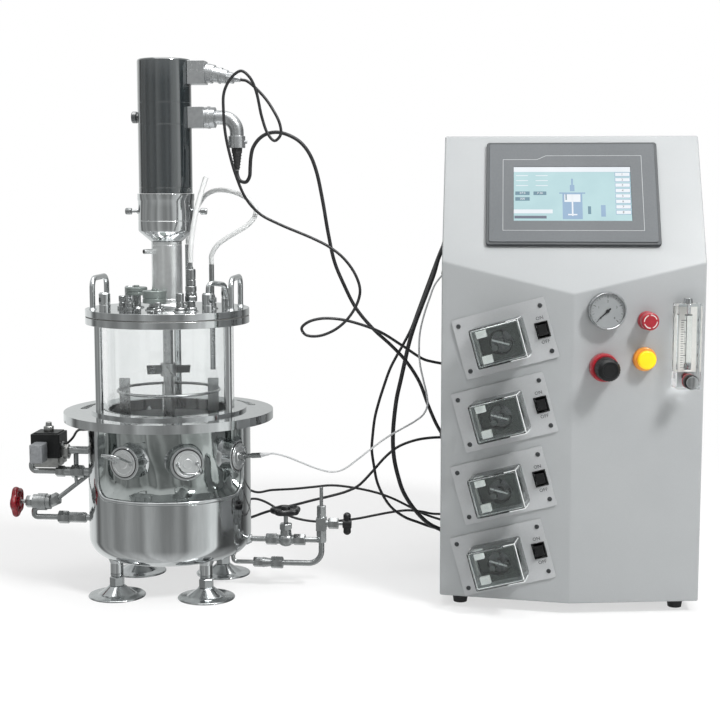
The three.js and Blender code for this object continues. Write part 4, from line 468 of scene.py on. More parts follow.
def settle(bm, name, place, material, body="station", instead=(), edge=0.35, fold=35):
    """Turns a shape in millimetres into a finished piece that rides on a body."""
    bmesh.ops.remove_doubles(bm, verts=bm.verts, dist=0.0008)
    bmesh.ops.recalc_face_normals(bm, faces=bm.faces)
    bm.transform(place)
    mesh = bpy.data.meshes.new(name)
    bm.to_mesh(mesh)
    bm.free()
    mesh.shade_smooth()
    mesh.set_sharp_from_angle(angle=math.radians(fold))
    for look in material if isinstance(material, (list, tuple)) else [material]:
        mesh.materials.append(look)
    made = bpy.data.objects.new(name, mesh)
    scene.collection.objects.link(made)
    if edge:
        rounding = made.modifiers.new("broken_edges", "BEVEL")
        rounding.width, rounding.segments = edge / 1000, 2
        rounding.limit_method, rounding.angle_limit = "ANGLE", math.radians(fold)
        rounding.harden_normals = True
    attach(made, body)
    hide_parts(*instead)
    return made


def on_ring(radius, azimuth, z):
    """A point round the vessel, measured from the front towards the right."""
    angle = math.radians(azimuth)
    return Vector((radius * math.sin(angle), -radius * math.cos(angle), z))


def arc(centre_r, centre_z, radius, start, end, steps=10):
    """Points of an arc in a turned profile."""
    angles = [math.radians(start + (end - start) * i / steps) for i in range(steps + 1)]
    return [(centre_r + radius * math.cos(a), centre_z + radius * math.sin(a)) for a in angles]


glass_low, glass_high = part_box("glass_cylinder")
VESSEL = Matrix.Translation(
    ((glass_low.x + glass_high.x) / 2, (glass_low.y + glass_high.y) / 2, 0)
) @ Matrix.Scale(0.001, 4)

mirror_steel = finish(
    "polished_stainless", (0.66, 0.67, 0.675), (0.55, 0.565, 0.57), 0.045, 0.13,
    grain=(1, 1, 0.15), scale=130, relief=0.03, Metallic=1.0,
)
satin_steel = finish(
    "satin_stainless", (0.46, 0.47, 0.472), (0.33, 0.34, 0.342), 0.22, 0.34, scale=160, relief=0.05, Metallic=1.0,
)

JACKET_RADIUS, FLANGE_LOW, FLANGE_TOP, SEAT_TOP = 112.5, 238, 250, 253.5
RECESS_FROM, RECESS_TO, RECESS_SILL, SILL_RISE, RECESS_CORNER = -51, 76, 136, 18, 28
POT_WALL_RADIUS = 94
pot = bmesh.new()
turned(
    pot,
    [
        (0, 48), *arc(84.5, 76, 28, -90, 0, 12), (JACKET_RADIUS, FLANGE_LOW - 1.5), (JACKET_RADIUS + 1.5, FLANGE_LOW),
        (144.5, FLANGE_LOW), (144.5, FLANGE_TOP), (107.5, FLANGE_TOP), (107.5, SEAT_TOP), (90.8, SEAT_TOP),
        (90.8, 252), (85.2, 252), (85.2, SEAT_TOP), (84, SEAT_TOP), (84, FLANGE_LOW), (90, FLANGE_LOW),
        *arc(70, 87, 20, 0, -90, 8), (0, 67),
    ],
    steps=144,
)


def recess_outline(margin=0.0):
    """The recess's open side, as (distance round the jacket, height): a flat rim with round lower corners."""
    left = math.radians(RECESS_FROM) * JACKET_RADIUS - margin
    right = math.radians(RECESS_TO) * JACKET_RADIUS + margin
    low, corner = RECESS_SILL - margin, RECESS_CORNER + margin
    return [
        (left, FLANGE_LOW + 0.5), *arc(left + corner, low + corner, corner, 180, 270, 12),
        *arc(right - corner, low + corner, corner, 270, 360, 12), (right, FLANGE_LOW + 0.5),
    ]


def wrapped(distance, height, radius):
    """A point of the flat pattern wrapped round the vessel."""
    inward = (JACKET_RADIUS - radius) / (JACKET_RADIUS - POT_WALL_RADIUS)
    sill = min(1.0, max(0.0, (FLANGE_LOW - height) / 70)) * SILL_RISE * inward
    return on_ring(radius, math.degrees(distance / JACKET_RADIUS), height + sill)


recess = bmesh.new()
rim = [recess.verts.new((distance, 0, height)) for distance, height in recess_outline()]
recess.faces.new(rim)
for distance in range(-96, 150, 4):
    bmesh.ops.bisect_plane(
        recess, geom=recess.verts[:] + recess.edges[:] + recess.faces[:],
        plane_co=(distance, 0, 0), plane_no=(1, 0, 0),
    )
for height in range(146, 236, 12):
    bmesh.ops.bisect_plane(
        recess, geom=recess.verts[:] + recess.edges[:] + recess.faces[:], plane_co=(0, 0, height), plane_no=(0, 0, 1),
    )
RECESS_OUTER, BACK_FILLET = 117, 7
pushed(recess, recess.faces[:], (0, RECESS_OUTER - POT_WALL_RADIUS, 0))
back_rim = [
    e for e in recess.edges
    if all(v.co.y > 1 for v in e.verts) and len({round(f.normal.y, 1) for f in e.link_faces}) > 1
]
bmesh.ops.bevel(recess, geom=back_rim, affect="EDGES", offset=BACK_FILLET, segments=5, profile=0.5, material=-1)
for vert in recess.verts:
    distance, height, radius = vert.co.x, vert.co.z, RECESS_OUTER - vert.co.y
    hollow = min(1.0, max(0.0, (101 - radius) / 7))
    radius += hollow * (
        1.3 * math.sin(distance / 8.5) * math.sin(height / 19) + 0.5 * math.sin(distance / 4.3 + height / 21)
    )
    vert.co = wrapped(distance, height, radius)

SLOT_RADIUS, SLOT_WIDTH, SLOT_SPAN = 119.5, 11, 45
slots = bmesh.new()
for start in (-130, 113):
    inset = math.degrees(SLOT_WIDTH / 2 / SLOT_RADIUS)
    first = start + inset
    corners = [
        slots.verts.new(on_ring(SLOT_RADIUS + side * SLOT_WIDTH / 2, first, height))
        for side, height in ((-1, 234), (1, 234), (1, 254), (-1, 254))
    ]
    section = slots.faces.new(corners)
    bmesh.ops.spin(
        slots, geom=corners + section.edges[:] + [section], cent=(0, 0, 0), axis=(0, 0, 1),
        angle=math.radians(SLOT_SPAN - 2 * inset), steps=18,
    )
    for azimuth in (first, first + SLOT_SPAN - 2 * inset):
        bar(
            slots, on_ring(SLOT_RADIUS, azimuth, 233), on_ring(SLOT_RADIUS, azimuth, 255),
            SLOT_WIDTH / 2 - 0.02, sides=24,
        )
pot = carved(carved(pot, recess), slots)
# The recess's steel is darker and patchier than the jacket's: painted shade in the recess and painted reflections,
# over a strong wavy bump.
recess_steel_painted_shade = finish(
    "recess_steel_with_painted_shade", (0.53, 0.555, 0.548), (0.245, 0.268, 0.26), 0.04, 0.1, scale=24, relief=0.5, Metallic=1.0,
)
# Brushed steel painted far brighter than the jacket: painted light that lifts the shade inside the pot and in the
# flange slots. The port plugs and the seal column use it too.
inner_steel_painted_light = finish(
    "brushed_steel_with_painted_light", (0.95, 0.96, 0.96), (0.84, 0.85, 0.85), 0.3, 0.42, scale=150, relief=0.05, Metallic=1.0,
)
# Faces in the recess get the steel with painted shade; faces inside the pot and in the flange slots get the steel with
# painted light.
for face in pot.faces:
    centre = face.calc_center_median()
    round_to = math.degrees(math.atan2(centre.x, -centre.y))
    reach = math.hypot(centre.x, centre.y)
    if 92 < reach < 112 and RECESS_SILL < centre.z < FLANGE_LOW and RECESS_FROM - 2 < round_to < RECESS_TO + 2:
        face.material_index = 1
    elif reach < 91 and centre.z < FLANGE_LOW or 112 < reach < 127 and FLANGE_LOW < centre.z < FLANGE_TOP:
        face.material_index = 2
settle(
    pot, "jacketed_pot", VESSEL, [mirror_steel, recess_steel_painted_shade, inner_steel_painted_light], instead=["vessel_body"],
    edge=0.5, fold=28,
)

LIP_WIRE, LIP_INSET, LIP_STEP = 3.2, 2.6, 3
trace = []
outline = recess_outline()
for (d0, h0), (d1, h1) in zip(outline, outline[1:]):
    count = max(1, round(math.hypot(d1 - d0, h1 - h0) / LIP_STEP))
    trace += [
        wrapped(
            d0 + (d1 - d0) * i / count, h0 + (h1 - h0) * i / count, JACKET_RADIUS - LIP_INSET,
        ) for i in range(count)
    ]
rolled = as_shape(strung("lip", trace, LIP_WIRE, caps=False))
settle(rolled, "recess_lip", VESSEL, mirror_steel, edge=0)

# Three side ports are welded into the recess. Two are shut by screwed plugs
# with a wire bail to turn them by, and the third holds the electrode.
PORT_AZIMUTHS, PORT_HEIGHT, PORT_FACE = (-21, 24.4, 70), 192, 112
rubber_black = finish("black_rubber_seal", (0.02, 0.02, 0.021), (0.04, 0.04, 0.04), 0.5, 0.7, scale=200)
FORWARD = spun(90, "X")


def port_place(azimuth):
    """Local axis Z pointing out of the vessel at a port."""
    return spun(azimuth, "Z") @ moved(0, 0, PORT_HEIGHT) @ FORWARD


bosses, seals, plugs = bmesh.new(), bmesh.new(), bmesh.new()
for azimuth in PORT_AZIMUTHS:
    place = port_place(azimuth)
    turned(
        bosses,
        [
            (0, 82), (27, 90), (24.6, 93.5), (23.4, 98), (23, 104), (23, 110.2), (22.2, 111), (19.3, 111),
            (19.3, 107), (0, 107),
        ],
        64, place=place,
    )
    turned(seals, [(18.6, 108), (19.9, 108), (19.9, 111.1), (19.2, 111.5), (18.6, 111.1)], 64, ring=True, place=place)
    turned(
        plugs,
        [
            (0, 106), (18.5, 106), (18.5, 111.6), (17.9, 112.2), (15.4, 112.2), (15.1, 111.5),
            (14.3, 111.5), (14, 112.2), (7, 112.2), (6.2, 113), (0, 113),
        ],
        64, place=place,
    )
settle(bosses, "port_bosses", VESSEL, mirror_steel, edge=0.4)
settle(seals, "port_seals", VESSEL, rubber_black, edge=0)
settle(plugs, "port_plugs", VESSEL, inner_steel_painted_light, edge=0.3)

BAIL_HALF, BAIL_LENGTH, BAIL_WIRE = 13, 38, 1.8
bails = bmesh.new()
for azimuth, tilt in zip(PORT_AZIMUTHS, (25, -10)):
    place = port_place(azimuth)
    out = PORT_FACE + BAIL_LENGTH * math.cos(math.radians(tilt))
    rise = BAIL_LENGTH * math.sin(math.radians(tilt))
    loop = bmesh.new()
    pipe(
        loop,
        [
            (-BAIL_HALF, 0, PORT_FACE - 3), (-BAIL_HALF, rise, out), (BAIL_HALF, rise, out),
            (BAIL_HALF, 0, PORT_FACE - 3),
        ],
        9.5, BAIL_WIRE, 16, 8,
    )
    for side in (-1, 1):
        run(loop, "z", (side * BAIL_HALF, 0), (110.5, 114.5, 3.4, 2.6, 24))
    loop.transform(place)
    mesh = bpy.data.meshes.new("loop")
    loop.to_mesh(mesh)
    bails.from_mesh(mesh)
    loop.free()
settle(bails, "port_bails", VESSEL, mirror_steel, edge=0.2)

# Short nozzles, the leg bosses and the heater's terminal head are welded to
# the jacket. The head's lid is held by four screws and its glands point right.
fittings = bmesh.new()
for z, radius in ((190, 7), (159.5, 7.5), (94.5, 6.5)):
    run(fittings, "x", (0, z), (-104, -115, radius), (-110, -113.4, radius + 3.2, radius + 0.2))
run(fittings, "x", (13, 153), (-104, -115, 5))
run(fittings, "x", (0, 68), (104, 115, 6), (108, 113.6, 9, 6.2))
run(fittings, "z", (88, 0), (45, 54, 4.5), (48, 53, 5, 8))
for x in (-62, 62):
    for y in (-64, 64):
        run(fittings, "z", (x, y), (32.3, 60, 9), (46, 56, 9.2, 13))
settle(fittings, "welded_fittings", VESSEL, mirror_steel, edge=0.5)

grey_casting = finish(
    "grey_die_casting", (0.42, 0.43, 0.44), (0.34, 0.35, 0.36), 0.38, 0.55, scale=260, relief=0.25, Metallic=0.35,
)
head = bmesh.new()
box(head, (-22, 100, 36), (8, 148, 86))
box(head, (-20.5, 146, 37.5), (6.5, 152, 84.5))
settle(head, "heater_head", VESSEL, grey_casting, edge=2.5)
glands = bmesh.new()
for z in (44, 68):
    run(glands, "x", (140, z), (7, 11, 9.4, "hex"), (10.5, 14, 4.6, 3.2, 24))
for x in (-17, 3):
    for z in (41, 81):
        run(glands, "y", (x, z), (151, 152, 2.3, 2.1, 16))
settle(glands, "heater_glands", VESSEL, satin_steel, edge=0.2)

# Each foot is a spun steel dish on a stud, with a hexagonal nut to level it by.
# The four stand under the leg bosses and are polished like the pot.
foot_steel = finish(
    "polished_foot_steel", (0.52, 0.535, 0.54), (0.4, 0.415, 0.42), 0.12, 0.22, scale=150, relief=0.03, Metallic=1.0,
)
foot_profile = [
    (0, 0), (38.6, 0), (39, 0.5), (39, 1.7), (38.2, 2.6), (36.5, 3), (27, 3.2), (25, 3.8),
    (23.4, 5.2), (12.5, 13), (11.2, 14.6), (0, 14.6),
]
for foot_node, x, y in (
    ("foot_front_left", -62, -64), ("foot_front_right", 62, -64),
    ("foot_rear_left", -62, 64), ("foot_rear_right", 62, 64),
):
    place = VESSEL @ moved(x, y, 0)
    foot = bmesh.new()
    turned(foot, foot_profile, 72)
    run(foot, "z", (0, 0), (14, 27.5, 18, "hex"), (27, 29, 6.4), (28.6, 32, 9))
    settle(foot, foot_node + "_dish", place, foot_steel, instead=[foot_node], edge=0.4)

# The glass section is a plain borosilicate tube between two grooved rings. The
# upper ring stands on three rods, and a thin gasket seals it to the lid.


def clear(name, tint, roughness, ior, shade, dark=None):
    """A clear material whose shadow stays light."""
    made = finish(
        name, tint, dark or tint, roughness, roughness * 1.6, scale=40, relief=0.0, Transmission_Weight=1.0, IOR=ior,
    )
    nodes, links = made.node_tree.nodes, made.node_tree.links
    rays = nodes.new("ShaderNodeLightPath")
    fade = nodes.new("ShaderNodeMapRange")
    fade.inputs["To Min"].default_value = 1.0
    fade.inputs["To Max"].default_value = shade
    links.new(rays.outputs["Is Shadow Ray"], fade.inputs["Value"])
    links.new(fade.outputs["Result"], nodes["Principled BSDF"].inputs["Alpha"])
    return made


borosilicate = clear("borosilicate_glass", (0.92, 0.935, 0.935), 0.008, 1.47, 0.12, (0.89, 0.91, 0.908))
GLASS_LOW, GLASS_HIGH = glass_low.z * 1000, glass_high.z * 1000
settle(
    new_shape(turned, [(85.5, GLASS_LOW), (90.5, GLASS_LOW), (90.5, GLASS_HIGH), (85.5, GLASS_HIGH)], 144, ring=True),
    "glass_tube", VESSEL, borosilicate, instead=["glass_cylinder"], edge=0.5,
)

RING_LOW, RING_TOP, ROD_CIRCLE = 371.4, 381.0, 101
ring = bmesh.new()
turned(
    ring,
    [
        (84, RING_LOW), (85.2, RING_LOW), (85.2, 373.4), (90.8, 373.4), (90.8, RING_LOW),
        (112.5, RING_LOW), (112.5, RING_TOP), (84, RING_TOP),
    ],
    144, ring=True,
)
for azimuth in (-55.5, 64.5, 184.5):
    bar(ring, on_ring(ROD_CIRCLE, azimuth, 247), on_ring(ROD_CIRCLE, azimuth, 373), 5.25, sides=40)
settle(ring, "upper_ring_and_rods", VESSEL, mirror_steel, instead=["upper_ring"], edge=0.5)
gasket_grey = finish("silicone_gasket", (0.2, 0.2, 0.19), (0.14, 0.14, 0.135), 0.5, 0.65, scale=120)
settle(
    new_shape(turned, [(84, 381.3), (112, 381.3), (112, 382.1), (84, 382.1)], 144, ring=True), "gasket_ring", VESSEL,
    gasket_grey, instead=["lid_gasket"], edge=0,
)

# The lid is a thick polished plate with two U handles, four tall cap nuts with
# tommy-bar holes, and a crowd of welded ferrules, caps and compression fittings.
LID_LOW, LID_TOP = 382.4, 391.7
lid = bmesh.new()
turned(lid, [(9, LID_LOW), (112.5, LID_LOW), (112.5, LID_TOP), (9, LID_TOP)], 144, ring=True)
for side in (-1, 1):
    x = side * 95.5
    pipe(lid, [(x, -37.5, 390), (x, -37.5, 433.7), (x, 37.5, 433.7), (x, 37.5, 390)], 14, 3.8, 24, 10)
    for y in (-37.5, 37.5):
        run(lid, "z", (x, y), (LID_TOP - 0.5, LID_TOP + 2.5, 6, 4))
nuts = bmesh.new()
holes = bmesh.new()
for azimuth in (-135, -45, 45, 135):
    foot_at = on_ring(99, azimuth, LID_TOP)
    nut_place = Matrix.Translation(foot_at)
    turned(
        nuts,
        [(0, -0.5), (7.7, -0.5), (7.7, 9), (7.2, 9.5), (7.2, 10.3), (7.7, 10.8), (7.7, 23.5), (6, 25.5), (0, 25.5)],
        48, place=nut_place,
    )
    bar(holes, on_ring(87, azimuth, LID_TOP + 15.8), on_ring(111, azimuth, LID_TOP + 15.8), 3, sides=24)
nuts = carved(nuts, holes)
settle(nuts, "lid_cap_nuts", VESSEL, mirror_steel, edge=0.3)


def stack(bm, x, y, steps, base=LID_TOP - 0.5):
    """Turned and hexagonal lengths on one upright axis: radius, height, 6 for a hexagon, groove."""
    z = base
    for radius, height, kind in steps:
        if kind == 6:
            hexagon(bm, (x, y, z), (x, y, z + height), radius * math.sqrt(3))
        elif kind == "grooved":
            third = height / 3
            turned(
                bm,
                [
                    (0, 0), (radius - 0.8, 0), (radius, 0.8), (radius, third), (radius - 0.9, third + 0.4),
                    (radius - 0.9, third + 1.4), (radius, third + 1.8), (radius, height - 0.9),
                    (radius - 0.9, height), (0, height),
                ],
                48, place=moved(x, y, z),
            )
        else:
            run(bm, "z", (x, y), (z, z + height, radius))
        z += height


ferrules = bmesh.new()
stack(ferrules, -44, 2, [(9, 2.5, 0), (6, 15.6, 0)])
stack(ferrules, -46, -30, [(8.5, 3, 0), (6.5, 6.5, 0), (4, 3, 0)])
stack(ferrules, -58, -22, [(7, 4, 0), (5, 14.5, "grooved")])
stack(ferrules, -8, -44, [(11.5, 5, 6), (7, 5.6, 0)])
stack(ferrules, 6, -85, [(6, 5, 6), (4.25, 9.5, "grooved")])
stack(ferrules, 32, -68, [(7.5, 6, 6), (5.25, 19.5, "grooved")])
stack(ferrules, 45, -58, [(8, 6, 6), (5.5, 8, 0)])
stack(ferrules, 21.5, 40, [(8, 6, 6), (4.25, 80.4, 0)])
stack(ferrules, 64, -10, [(7, 5, 6), (6.2, 3.4, 0)])
for x, y, radius in ((-44, 2, 11), (-8, -44, 13.5), (45, -58, 10), (64, -10, 9), (21.5, 40, 10), (32, -68, 9.5)):
    run(ferrules, "z", (x, y), (LID_TOP - 0.4, LID_TOP + 1.4, radius, radius - 1))
settle(ferrules, "lid_fittings", VESSEL, satin_steel, edge=0.3)
cap_grey = finish(
    "anodised_caps", (0.3, 0.335, 0.32), (0.22, 0.25, 0.24), 0.32, 0.46, scale=220, relief=0.08, Metallic=0.5,
)
caps = bmesh.new()
stack(caps, -44, 2, [(15, 11, "grooved"), (4, 2.5, 0)], LID_TOP + 17.3)
stack(caps, -8, -44, [(16, 17, "grooved"), (4, 2, 0)], LID_TOP + 9.8)
settle(caps, "lid_caps", VESSEL, cap_grey, edge=0.3)
pipe(
    lid, [(66, -46, LID_TOP - 1), (66, -46, LID_TOP + 38), (84, -24, LID_TOP + 34), (86, -18, LID_TOP + 18)], 8, 3.5,
    20, 6,
)
run(lid, "z", (66, -46), (LID_TOP, LID_TOP + 7, 6.2, 5.4))
settle(lid, "lid_plate", VESSEL, mirror_steel, instead=["lid"], edge=0.6)

# The exhaust condenser screws into its own boss, and the dip tube for feeding
# passes through the lid to the liquid; both are thin bright stainless tube.
condenser = bmesh.new()
cx, cy, cz = 45, -58, 405
hexagon(condenser, (cx, cy, cz), (cx, cy, cz + 8), 15)
stack(condenser, cx, cy, [(7.5, 14, "grooved"), (6.5, 22.5, "grooved"), (3.4, 3, 0), (2.5, 15, 0)], cz + 7)
settle(condenser, "exhaust_condenser", VESSEL, satin_steel, instead=["condenser"], edge=0.3)
vent_points = [
    (cx, cy, 457), (cx, cy, 469), (cx + 1, cy + 4, 489), (cx + 5, cy + 14, 523), (cx + 11, cy + 28, 553),
    (cx + 15, cy + 36, 570),
]
stub = as_shape(strung("vent", smooth_route(vent_points), 3.5))
settle(stub, "exhaust_hose", VESSEL, silicone, edge=0)
settle(
    new_shape(run, "z", (64, -10), (308, 452.3, 3.5, 3.5, 24), (400, 407, 12, "hex"), (407, 411, 4.8, 4, 24)),
    "feed_dip_tube", VESSEL, satin_steel, instead=["dip_tube"], edge=0.2,
)

# The stirrer stands on a polished column over the shaft seal, and a turned
# bowl on top of it carries the glossy black servo motor with its two plugs.
column = bmesh.new()
turned(
    column,
    [
        (9, 392), (26, 392), (26, 395.6), (25.4, 396.4), (21.6, 397.6), (21, 398.6), (21, 404), (20.6, 404.5),
        (21, 405), (21, 478), (20.5, 478.5), (21, 479), (21, 483), (9, 483),
    ],
    72, ring=True,
)
bar(column, (-15, -14, 470), (-26, -26, 470), 3.25, sides=24)
settle(column, "seal_column", VESSEL, inner_steel_painted_light, instead=["stirrer_column"], edge=0.3)
settle(
    new_shape(bar, (-25.4, -25.4, 470), (-26.2, -26.2, 470), 2.3, sides=20), "seal_nipple_bore", VESSEL, rubber_black,
    edge=0,
)

settle(
    new_shape(
        turned,
        [
            (9, 483.3), (21, 483.3), (22.5, 484.3), (37, 496.6), (38, 498.4), (38, 511), (37.6, 511.5), (38, 512),
            (38, 538.5), (38.75, 539.6), (38.75, 548.3), (30, 548.3), (30, 501.3), (9, 501.3),
        ],
        96, ring=True,
    ),
    "adaptor_bowl", VESSEL, mirror_steel, instead=["motor_adaptor"], edge=0.3,
)
screws = bmesh.new()
for side in (-1, 1):
    run(screws, "x", (0, 524.3), (side * 34, side * 48.5, 2, 2, 20), (side * 37.6, side * 40, 3.6, 3.6, 24))
    turned(
        screws, [(0, 0), (3.9, 0), (4.5, 0.7), (4.5, 7.6), (3.9, 8.6), (0, 8.6)], 24,
        place=moved(side * 48, 0, 524.3) @ spun(side * 90, "Y"),
    )
settle(screws, "thumb_screws", VESSEL, satin_steel, edge=0.2)

black_enamel = finish(
    "gloss_black_enamel", (0.01, 0.0155, 0.018), (0.014, 0.02, 0.0225), 0.08, 0.15, scale=240, relief=0.01,
    Specular_IOR_Level=1.0, Coat_Weight=1.0, Coat_Roughness=0.05, Coat_IOR=1.9,
)
settle(
    new_shape(
        turned,
        [
            (0, 548.6), (35.9, 548.6), (36.5, 549.2), (36.5, 556), (36.15, 556.4), (36.5, 556.8), (36.5, 641),
            (36.15, 641.4), (36.5, 641.8), (36.5, 670), (36.15, 670.4), (36.5, 670.8), (36.5, 726.4), (35.9, 728),
            (34.5, 729), (31, 729.3), (30.6, 728.6), (0, 728.6),
        ],
        96,
    ),
    "motor_body", VESSEL, black_enamel, instead=["motor_housing"], edge=0,
)
knob = bmesh.new()
run(knob, "x", (0, 651.6), (-33, -38.5, 5, 5, 24))
turned(
    knob, [(0, 0), (7.2, 0), (8, 0.9), (8, 6), (7, 7.2), (0, 7.5)], 32, place=moved(-38, 0, 651.6) @ spun(-90, "Y"),
)
settle(knob, "motor_brake_knob", VESSEL, black_enamel, edge=0.2)
top_screws = bmesh.new()
for azimuth in (45, 135, 225, 315):
    at = on_ring(24, azimuth, 728.4)
    bar(top_screws, at, at + Vector((0, 0, 0.8)), 2.4, 2.2, 24)
settle(top_screws, "motor_top_screws", VESSEL, satin_steel, edge=0.1)

die_cast = finish(
    "nickelled_connector", (0.62, 0.63, 0.635), (0.46, 0.47, 0.48), 0.2, 0.38, scale=180, relief=0.12, Metallic=0.9,
)


def beside_motor(bm, z, height, depth, reach):
    """A connector's foot, shaped to the motor's side."""
    block = bmesh.new()
    box(block, (28, -depth / 2, z - height / 2), (reach, depth / 2, z + height / 2))
    round_side = bmesh.new()
    run(round_side, "z", (0, 0), (z - height, z + height, 36.8, 36.8, 96))
    merged(bm, carved(block, round_side))


plug = bmesh.new()
beside_motor(plug, 711, 31, 28, 57.5)
tip = Vector((105.7, -3, 701.1))
root = Vector((57, 0, 711))


def along_plug(share):
    return root.lerp(tip, share)


bar(plug, along_plug(0), along_plug(0.24), 12.5, sides=32)
for start in (0.06, 0.12, 0.18):
    bar(plug, along_plug(start), along_plug(start + 0.03), 12.9, sides=12)
bar(plug, along_plug(0.22), along_plug(0.62), 10.5, 9, 32)
bar(plug, along_plug(0.4), along_plug(0.46), 10.9, sides=32)
bar(plug, along_plug(0.6), along_plug(0.82), 7.5, sides=8)
bar(plug, along_plug(0.8), along_plug(1), 5, 3, 24)
settle(plug, "encoder_plug", VESSEL, die_cast, instead=["top_connector"], edge=0.5)
elbow = bmesh.new()
beside_motor(elbow, 651, 28, 28, 55.5)
run(elbow, "x", (0, 651), (55, 70, 14, 14, 40), (59, 63, 15, 15, 40))
pipe(elbow, [(69, 0, 651), (99, 0, 651), (99, 0, 612)], 20, 9.5, 32, 12)
run(elbow, "z", (99, 0), (626, 610, 11.5, 11.5, 40))
for side in (-1, 1):
    run(elbow, "x", (0, 618), (99 + side * 10, 99 + side * 14, 2.5, 2.5, 20))
settle(elbow, "power_elbow", VESSEL, die_cast, instead=["elbow_connector"], edge=0.5)
relief = bmesh.new()
run(relief, "z", (99, 0), (611, 603, 8, 7.4, 6), (605, 580.3, 6.5, 3.2, 32))
for z in range(583, 603, 4):
    run(relief, "z", (99, 0), (z, z + 1.6, 4.2 + (z - 583) * 0.13, 4.4 + (z - 583) * 0.13, 32))
settle(relief, "power_strain_relief", VESSEL, rubber_black, edge=0.2)

# Inside, the shaft carries a pitched impeller in the glass and a flat one in
# the pot, and four baffle plates on a wire ring stop the broth from swirling.
shaft = bmesh.new()
run(shaft, "z", (0, 0), (100, 507.3, 7.25, 7.25, 40), (505.3, 546.3, 15, 15, 48), (545, 548.3, 7.25, 7.25, 40))
for z, radius, height, pitch in ((306, 30, 14, 40), (122, 38, 16, 0)):
    bar(shaft, (0, 0, z - 9), (0, 0, z + 9), 11.25, sides=40)
    run(shaft, "y", (0, z), (11, 12.6, 2.2, 2.2, 6))
    for azimuth in (20, 110, 200, 290):
        place = moved(0, 0, z) @ spun(azimuth, "Z") @ moved((radius + 4) / 2, 0, 0) @ spun(pitch, "X")
        box(shaft, (2 - radius / 2, -1, -height / 2), (radius / 2 - 2, 1, height / 2), place)
settle(
    shaft, "shaft_and_impellers", VESSEL, satin_steel, body="agitator", instead=["agitator"], edge=0.3,
)
cage = bmesh.new()
for azimuth in (-84, 6, 96, 186):
    box(cage, (-1, -69, 67.3), (1, -54, 294), spun(azimuth, "Z"))
wire = [(70 + 2 * math.cos(math.radians(a)), 278 + 2 * math.sin(math.radians(a))) for a in range(0, 360, 30)]
turned(cage, wire, 120, ring=True)
settle(cage, "baffle_plates", VESSEL, satin_steel, instead=["baffle_cage"], edge=0.3)

# On the left a solenoid valve lets cooling water into the jacket. It is a plated
# brass valve under a black moulded coil, piped up in stainless tube.
black_moulding = finish(
    "black_moulded_plastic", (0.007, 0.0075, 0.008), (0.013, 0.0135, 0.014), 0.36, 0.5, scale=320, relief=0.12,
    Specular_IOR_Level=0.35,
)
pale_moulding = finish(
    "grey_plug_moulding", (0.24, 0.25, 0.26), (0.17, 0.18, 0.19), 0.4, 0.55, scale=260, relief=0.15,
)
coil = bmesh.new()
box(coil, (-193, -20, 181), (-152, 20, 215))
box(coil, (-190, -17, 214.5), (-155, 17, 216.5))
settle(coil, "solenoid_coil", VESSEL, black_moulding, instead=["solenoid_valve"], edge=1.6)
din_plug = bmesh.new()
box(din_plug, (-187, -46, 178), (-169, -19, 204.5))
run(din_plug, "y", (-178, 197), (-46.5, -30, 7.5, 7.5, 32))
settle(din_plug, "solenoid_plug", VESSEL, pale_moulding, edge=1.8)
plated_brass = finish(
    "weathered_valve_body", (0.5, 0.5, 0.49), (0.36, 0.36, 0.35), 0.28, 0.46, scale=200, relief=0.25, Metallic=1.0,
)
valve = bmesh.new()
run(valve, "z", (-172.5, 0), (216, 224, 13, "hex"), (223, 229.5, 4.6, 4, 24))
box(valve, (-190, -14, 167), (-156, 14, 181.5))
hexagon(valve, (-156, 0, 188), (-143, 0, 188), 19)
box(valve, (-160, -9, 172), (-150, 9, 196))
settle(valve, "solenoid_valve_body", VESSEL, plated_brass, edge=0.8)
inlet = bmesh.new()
run(inlet, "x", (0, 190), (-144, -115.3, 5.5))
pipe(inlet, [(-188, 0, 174), (-198.5, 0, 174), (-198.5, 0, 159.5), (-160, 0, 159.5)], 6.5, 4, 24, 8)
run(inlet, "x", (0, 159.5), (-163, -150, 14, "hex"), (-151, -140, 6.6), (-141, -123, 16, "hex"), (-124, -115.3, 5.5))
run(inlet, "z", (-136, 6), (159.5, 190, 3.5, 3.5, 24))
bar(inlet, (-153, -10.2, 200.3), (-148, -10, 201), 3.5, sides=24)
settle(inlet, "jacket_inlet_pipes", VESSEL, satin_steel, edge=0.3)

# Below it the outlet's needle valve is fed by a slanting drain tube and turned
# by a red enamelled hand wheel with five lobes.
outlet = bmesh.new()
pipe(outlet, [(-161, 0, 121), (-120, 13, 153), (-115.3, 13, 153)], 3, 3.25, 20, 5)
hexagon(outlet, (-174, 0, 115), (-160, 0, 121.5), 15)
run(
    outlet, "x", (0, 115), (-172, -197, 10.5, 10.5, 40), (-178, -190, 12, 12, 40), (-196, -207, 15, "hex"),
    (-206, -224.7, 3, 3, 24),
)
pipe(outlet, [(-186, 0, 110), (-196.5, 0, 104), (-196.5, 0, 93.5), (-160, 0, 93.5)], 5, 4, 24, 6)
run(outlet, "x", (0, 93.5), (-161, -146, 16, "hex"), (-147, -121, 13, "hex"), (-122, -115.3, 4.5, 4.5, 24))
bar(outlet, (-136, 7, 139), (-136, 3, 149.6), 2.5, sides=20)
settle(outlet, "outlet_needle_valve", VESSEL, satin_steel, instead=["outlet_pipework"], edge=0.35)

